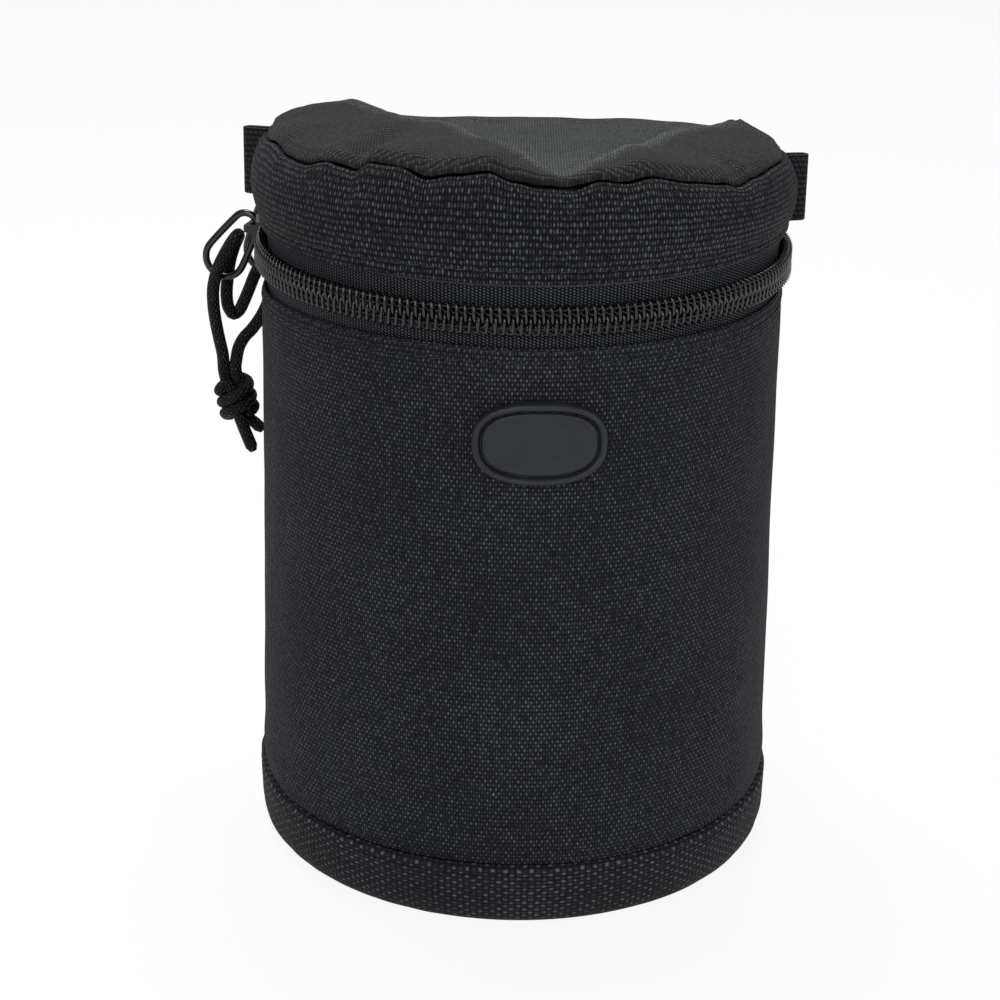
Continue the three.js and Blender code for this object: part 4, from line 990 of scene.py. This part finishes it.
def sew(name, line, out_of, body, slot, length=0.0027, gap=0.0007, lift=0.00005):
    """Stitches along a line of places; out_of gives the outward direction at a place's index."""
    along = [0.0]
    for p, q in zip(line, line[1:]):
        along.append(along[-1] + (q - p).length)

    def at(distance):
        i = max(0, min(len(line) - 2, next((k for k, a in enumerate(along) if a > distance), len(line)) - 1))
        t = (distance - along[i]) / max(along[i + 1] - along[i], 1e-9)
        return line[i].lerp(line[i + 1], t), out_of(i), (line[i + 1] - line[i]).normalized()

    stitches = []
    for k in range(int(along[-1] / (length + gap))):
        start = k * (length + gap) + gap / 2
        path = []
        for share, rise, lean in STITCH_ARC:
            place, out, way = at(start + length * share)
            path.append(place + out * (lift * rise) + out.cross(way) * STITCH_SLANT * lean)
        stitches.append(thin_wire(path, STITCH_THREAD, 5))
    sewn = repeated(name, stitches, thread)
    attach(sewn, body)


def round_row(radius, height, drape, rise=None):
    """A row of places round the plan on a draped cloth, and what gives their outward directions."""
    count = 700
    line, outs = [], []
    for k in range(count + 1):
        walk = -HALF_WALK + 2 * HALF_WALK * k / count
        r, z = drape(walk, radius, height)
        z += rise(*on_plan(walk, r)[0].xy, z) if rise else 0
        place, out = on_plan(walk, r)
        line.append(Vector((place.x, place.y, z)))
        outs.append(out)
    return line, lambda i: outs[i]


sew("wall_edge_stitches", *round_row(0.05598, WALL_SEAMS[1], body_drape), "body", "body_fabric")
sew("wall_tape_stitches", *round_row(0.05618, WALL_SEAMS[0], body_drape), "body", "body_fabric")
sew("lid_edge_stitches", *round_row(0.0569, LID_SEAM, lid_drape, lid_rise), "lid", "lid_fabric")

groove = [patch_place(patch_outline(2 * math.pi * k / 240, 0.00195), 0.00042) for k in range(241)]
patch_front = on_plan(PATCH_MIDDLE[0], 0.05)[1]
sew("patch_stitches", groove, lambda i: patch_front, "body", "patch_rubber", length=0.0021, lift=0.00008)
for row, (height, depth) in enumerate(((0.0468, 0.04495), (0.0515, 0.0451), (0.1069, 0.0443), (0.1112, 0.04405))):
    seam_line = [Vector((0.0135 - 0.027 * k / 60, depth, height)) for k in range(61)]
    sew(f"belt_strap_stitches_{row}", seam_line, lambda i: Vector((0, 1, 0)), "body", "webbing", 0.0022, lift=0.0001)

# ---- Sliders and rings ----
# Two cast zip sliders in black paint, worn to bright metal on the crowns, each
# with a pear-shaped ring of round wire as its pull.


def paint_finish():
    made = finish_of("worn_black_paint", (0.007, 0.0076, 0.0088), 0.32, metallic=0.3)
    scuffs = speckle(made, 320.0, 4.0, Roughness=0.7)
    edges = wire(made, "ShaderNodeNewGeometry").outputs["Pointiness"]
    wear = times(made, sum_of(made, "SUBTRACT", edges, 0.5), times(made, scuffs, 9.0))
    colour = shades(made, wear, (0.0, (0.007, 0.0076, 0.0088)), (0.6, (0.013, 0.014, 0.016)),
                    (0.95, (0.16, 0.16, 0.165)))
    surface(made, scuffs, 0.00004, colour, scaled(made, scuffs, 0.3, 0.2))
    return made


def ring_finish():
    made = finish_of("black_wire", (0.005, 0.0055, 0.0065), 0.22)
    scuffs = speckle(made, 500.0, 3.0)
    colour = shades(made, scuffs, (0.35, (0.0035, 0.0038, 0.0045)), (0.7, (0.011, 0.0118, 0.0135)))
    surface(made, scuffs, 0.00003, colour, scaled(made, scuffs, 0.3, 0.1))
    return made


slider_paint, ring_plating = paint_finish(), ring_finish()
for node in ("front_slider", "rear_slider"):
    slider = frame["nodes"][node]
    slider.data.materials.clear()
    slider.data.materials.append(slider_paint)

WIRE_RADIUS = 0.0008
RING_WIDTHS = (0.0072, 0.0104)
RING_NECK, RING_FOOT = [(width - 2 * WIRE_RADIUS) / 2 for width in RING_WIDTHS]
RING_SPAN = 0.018 - RING_WIDTHS[0] / 2 - RING_WIDTHS[1] / 2
RING_PIVOT = 0.0629
touching = math.acos((RING_NECK - RING_FOOT) / RING_SPAN)
for name, node, slider_turn, droop, body in (
        ("front_ring_wire", "front_pull_ring", FRONT_SLIDER_TURN, 57, "front_pull"),
        ("rear_ring_wire", "rear_pull_ring", REAR_SLIDER_TURN, 80, "rear_pull")):
    route = []
    for middle, radius, start, end in ((0, RING_NECK, touching, 2 * math.pi - touching),
                                       (RING_SPAN, RING_FOOT, -touching, touching)):
        for k in range(11):
            a = start + (end - start) * k / 10
            route.append((middle + radius * math.cos(a), radius * math.sin(a)))
    turn = Matrix.Rotation(math.radians(slider_turn), 3, "Z")
    cos, sin = math.cos(math.radians(-droop)), math.sin(math.radians(-droop))
    places = [turn @ Vector((0, -(RING_PIVOT + a * cos - b * sin), ZIP_HEIGHT + a * sin + b * cos)) for a, b in route]
    ring_line = smooth_line(places, FINE_STEP, closed=True)
    ring = tube(name, ring_line, [WIRE_RADIUS] * len(ring_line), 14, closed=True)
    ring.data.materials.append(ring_plating)
    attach(ring, body)
    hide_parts(node)

# ---- Floor and lamps ----
# A white floor that looks evenly white to the camera and takes soft shadows, a
# dim white surround, and three square studio lamps: in front, on the right, above.


def white_floor():
    made = bpy.data.materials.new("white_floor")
    made.use_nodes = True
    nodes, links = made.node_tree.nodes, made.node_tree.links
    nodes.remove(nodes["Principled BSDF"])
    seen = wire(made, "ShaderNodeLightPath").outputs
    mirrored = sum_of(made, "MAXIMUM", seen["Is Glossy Ray"], seen["Is Transmission Ray"])
    bright = sum_of(made, "MAXIMUM", seen["Is Camera Ray"], mirrored)
    plain = wire(made, "ShaderNodeBsdfDiffuse", Color=(0.8, 0.8, 0.8, 1)).outputs[0]
    white = wire(made, "ShaderNodeEmission", Color=(1, 1, 1, 1), Strength=1.0).outputs[0]
    mix = wire(made, "ShaderNodeMixShader", i0=times(made, bright, 0.9), i1=plain, i2=white).outputs[0]
    links.new(mix, nodes["Material Output"].inputs["Surface"])
    return made


bpy.ops.object.select_all(action="DESELECT")
bpy.ops.mesh.primitive_plane_add(size=6, location=(0, 0, -0.0003))
floor = bpy.context.object
floor.name = "floor"
floor.data.materials.append(white_floor())

world = bpy.data.worlds.new("surround")
bpy.context.scene.world = world
world.use_nodes = True
seen = wire(world, "ShaderNodeLightPath").outputs
shown = sum_of(world, "MAXIMUM", seen["Is Camera Ray"], seen["Is Transmission Ray"])
level = wire(world, "ShaderNodeMapRange", Value=shown, To_Min=0.26, To_Max=1.0).outputs["Result"]
background = world.node_tree.nodes["Background"]
background.inputs["Color"].default_value = (1, 1, 1, 1)
world.node_tree.links.new(level, background.inputs["Strength"])

for name, place, aim, size, power in (("front_lamp", (-0.35, -1.1, 0.75), (0, 0, 0.08), 0.7, 8.0),
                                      ("right_lamp", (0.9, -0.7, 0.5), (0, 0, 0.08), 0.6, 3.9),
                                      ("top_lamp", (-0.1, 0.35, 1.1), (0, 0, 0.14), 0.6, 12.5)):
    bpy.ops.object.light_add(type="AREA", location=place)
    lamp = bpy.context.object
    lamp.name = name
    lamp.data.shape = "SQUARE"
    lamp.data.size = size
    lamp.data.energy = power
    lamp.rotation_euler = (Vector(aim) - Vector(place)).to_track_quat("-Z", "Y").to_euler()
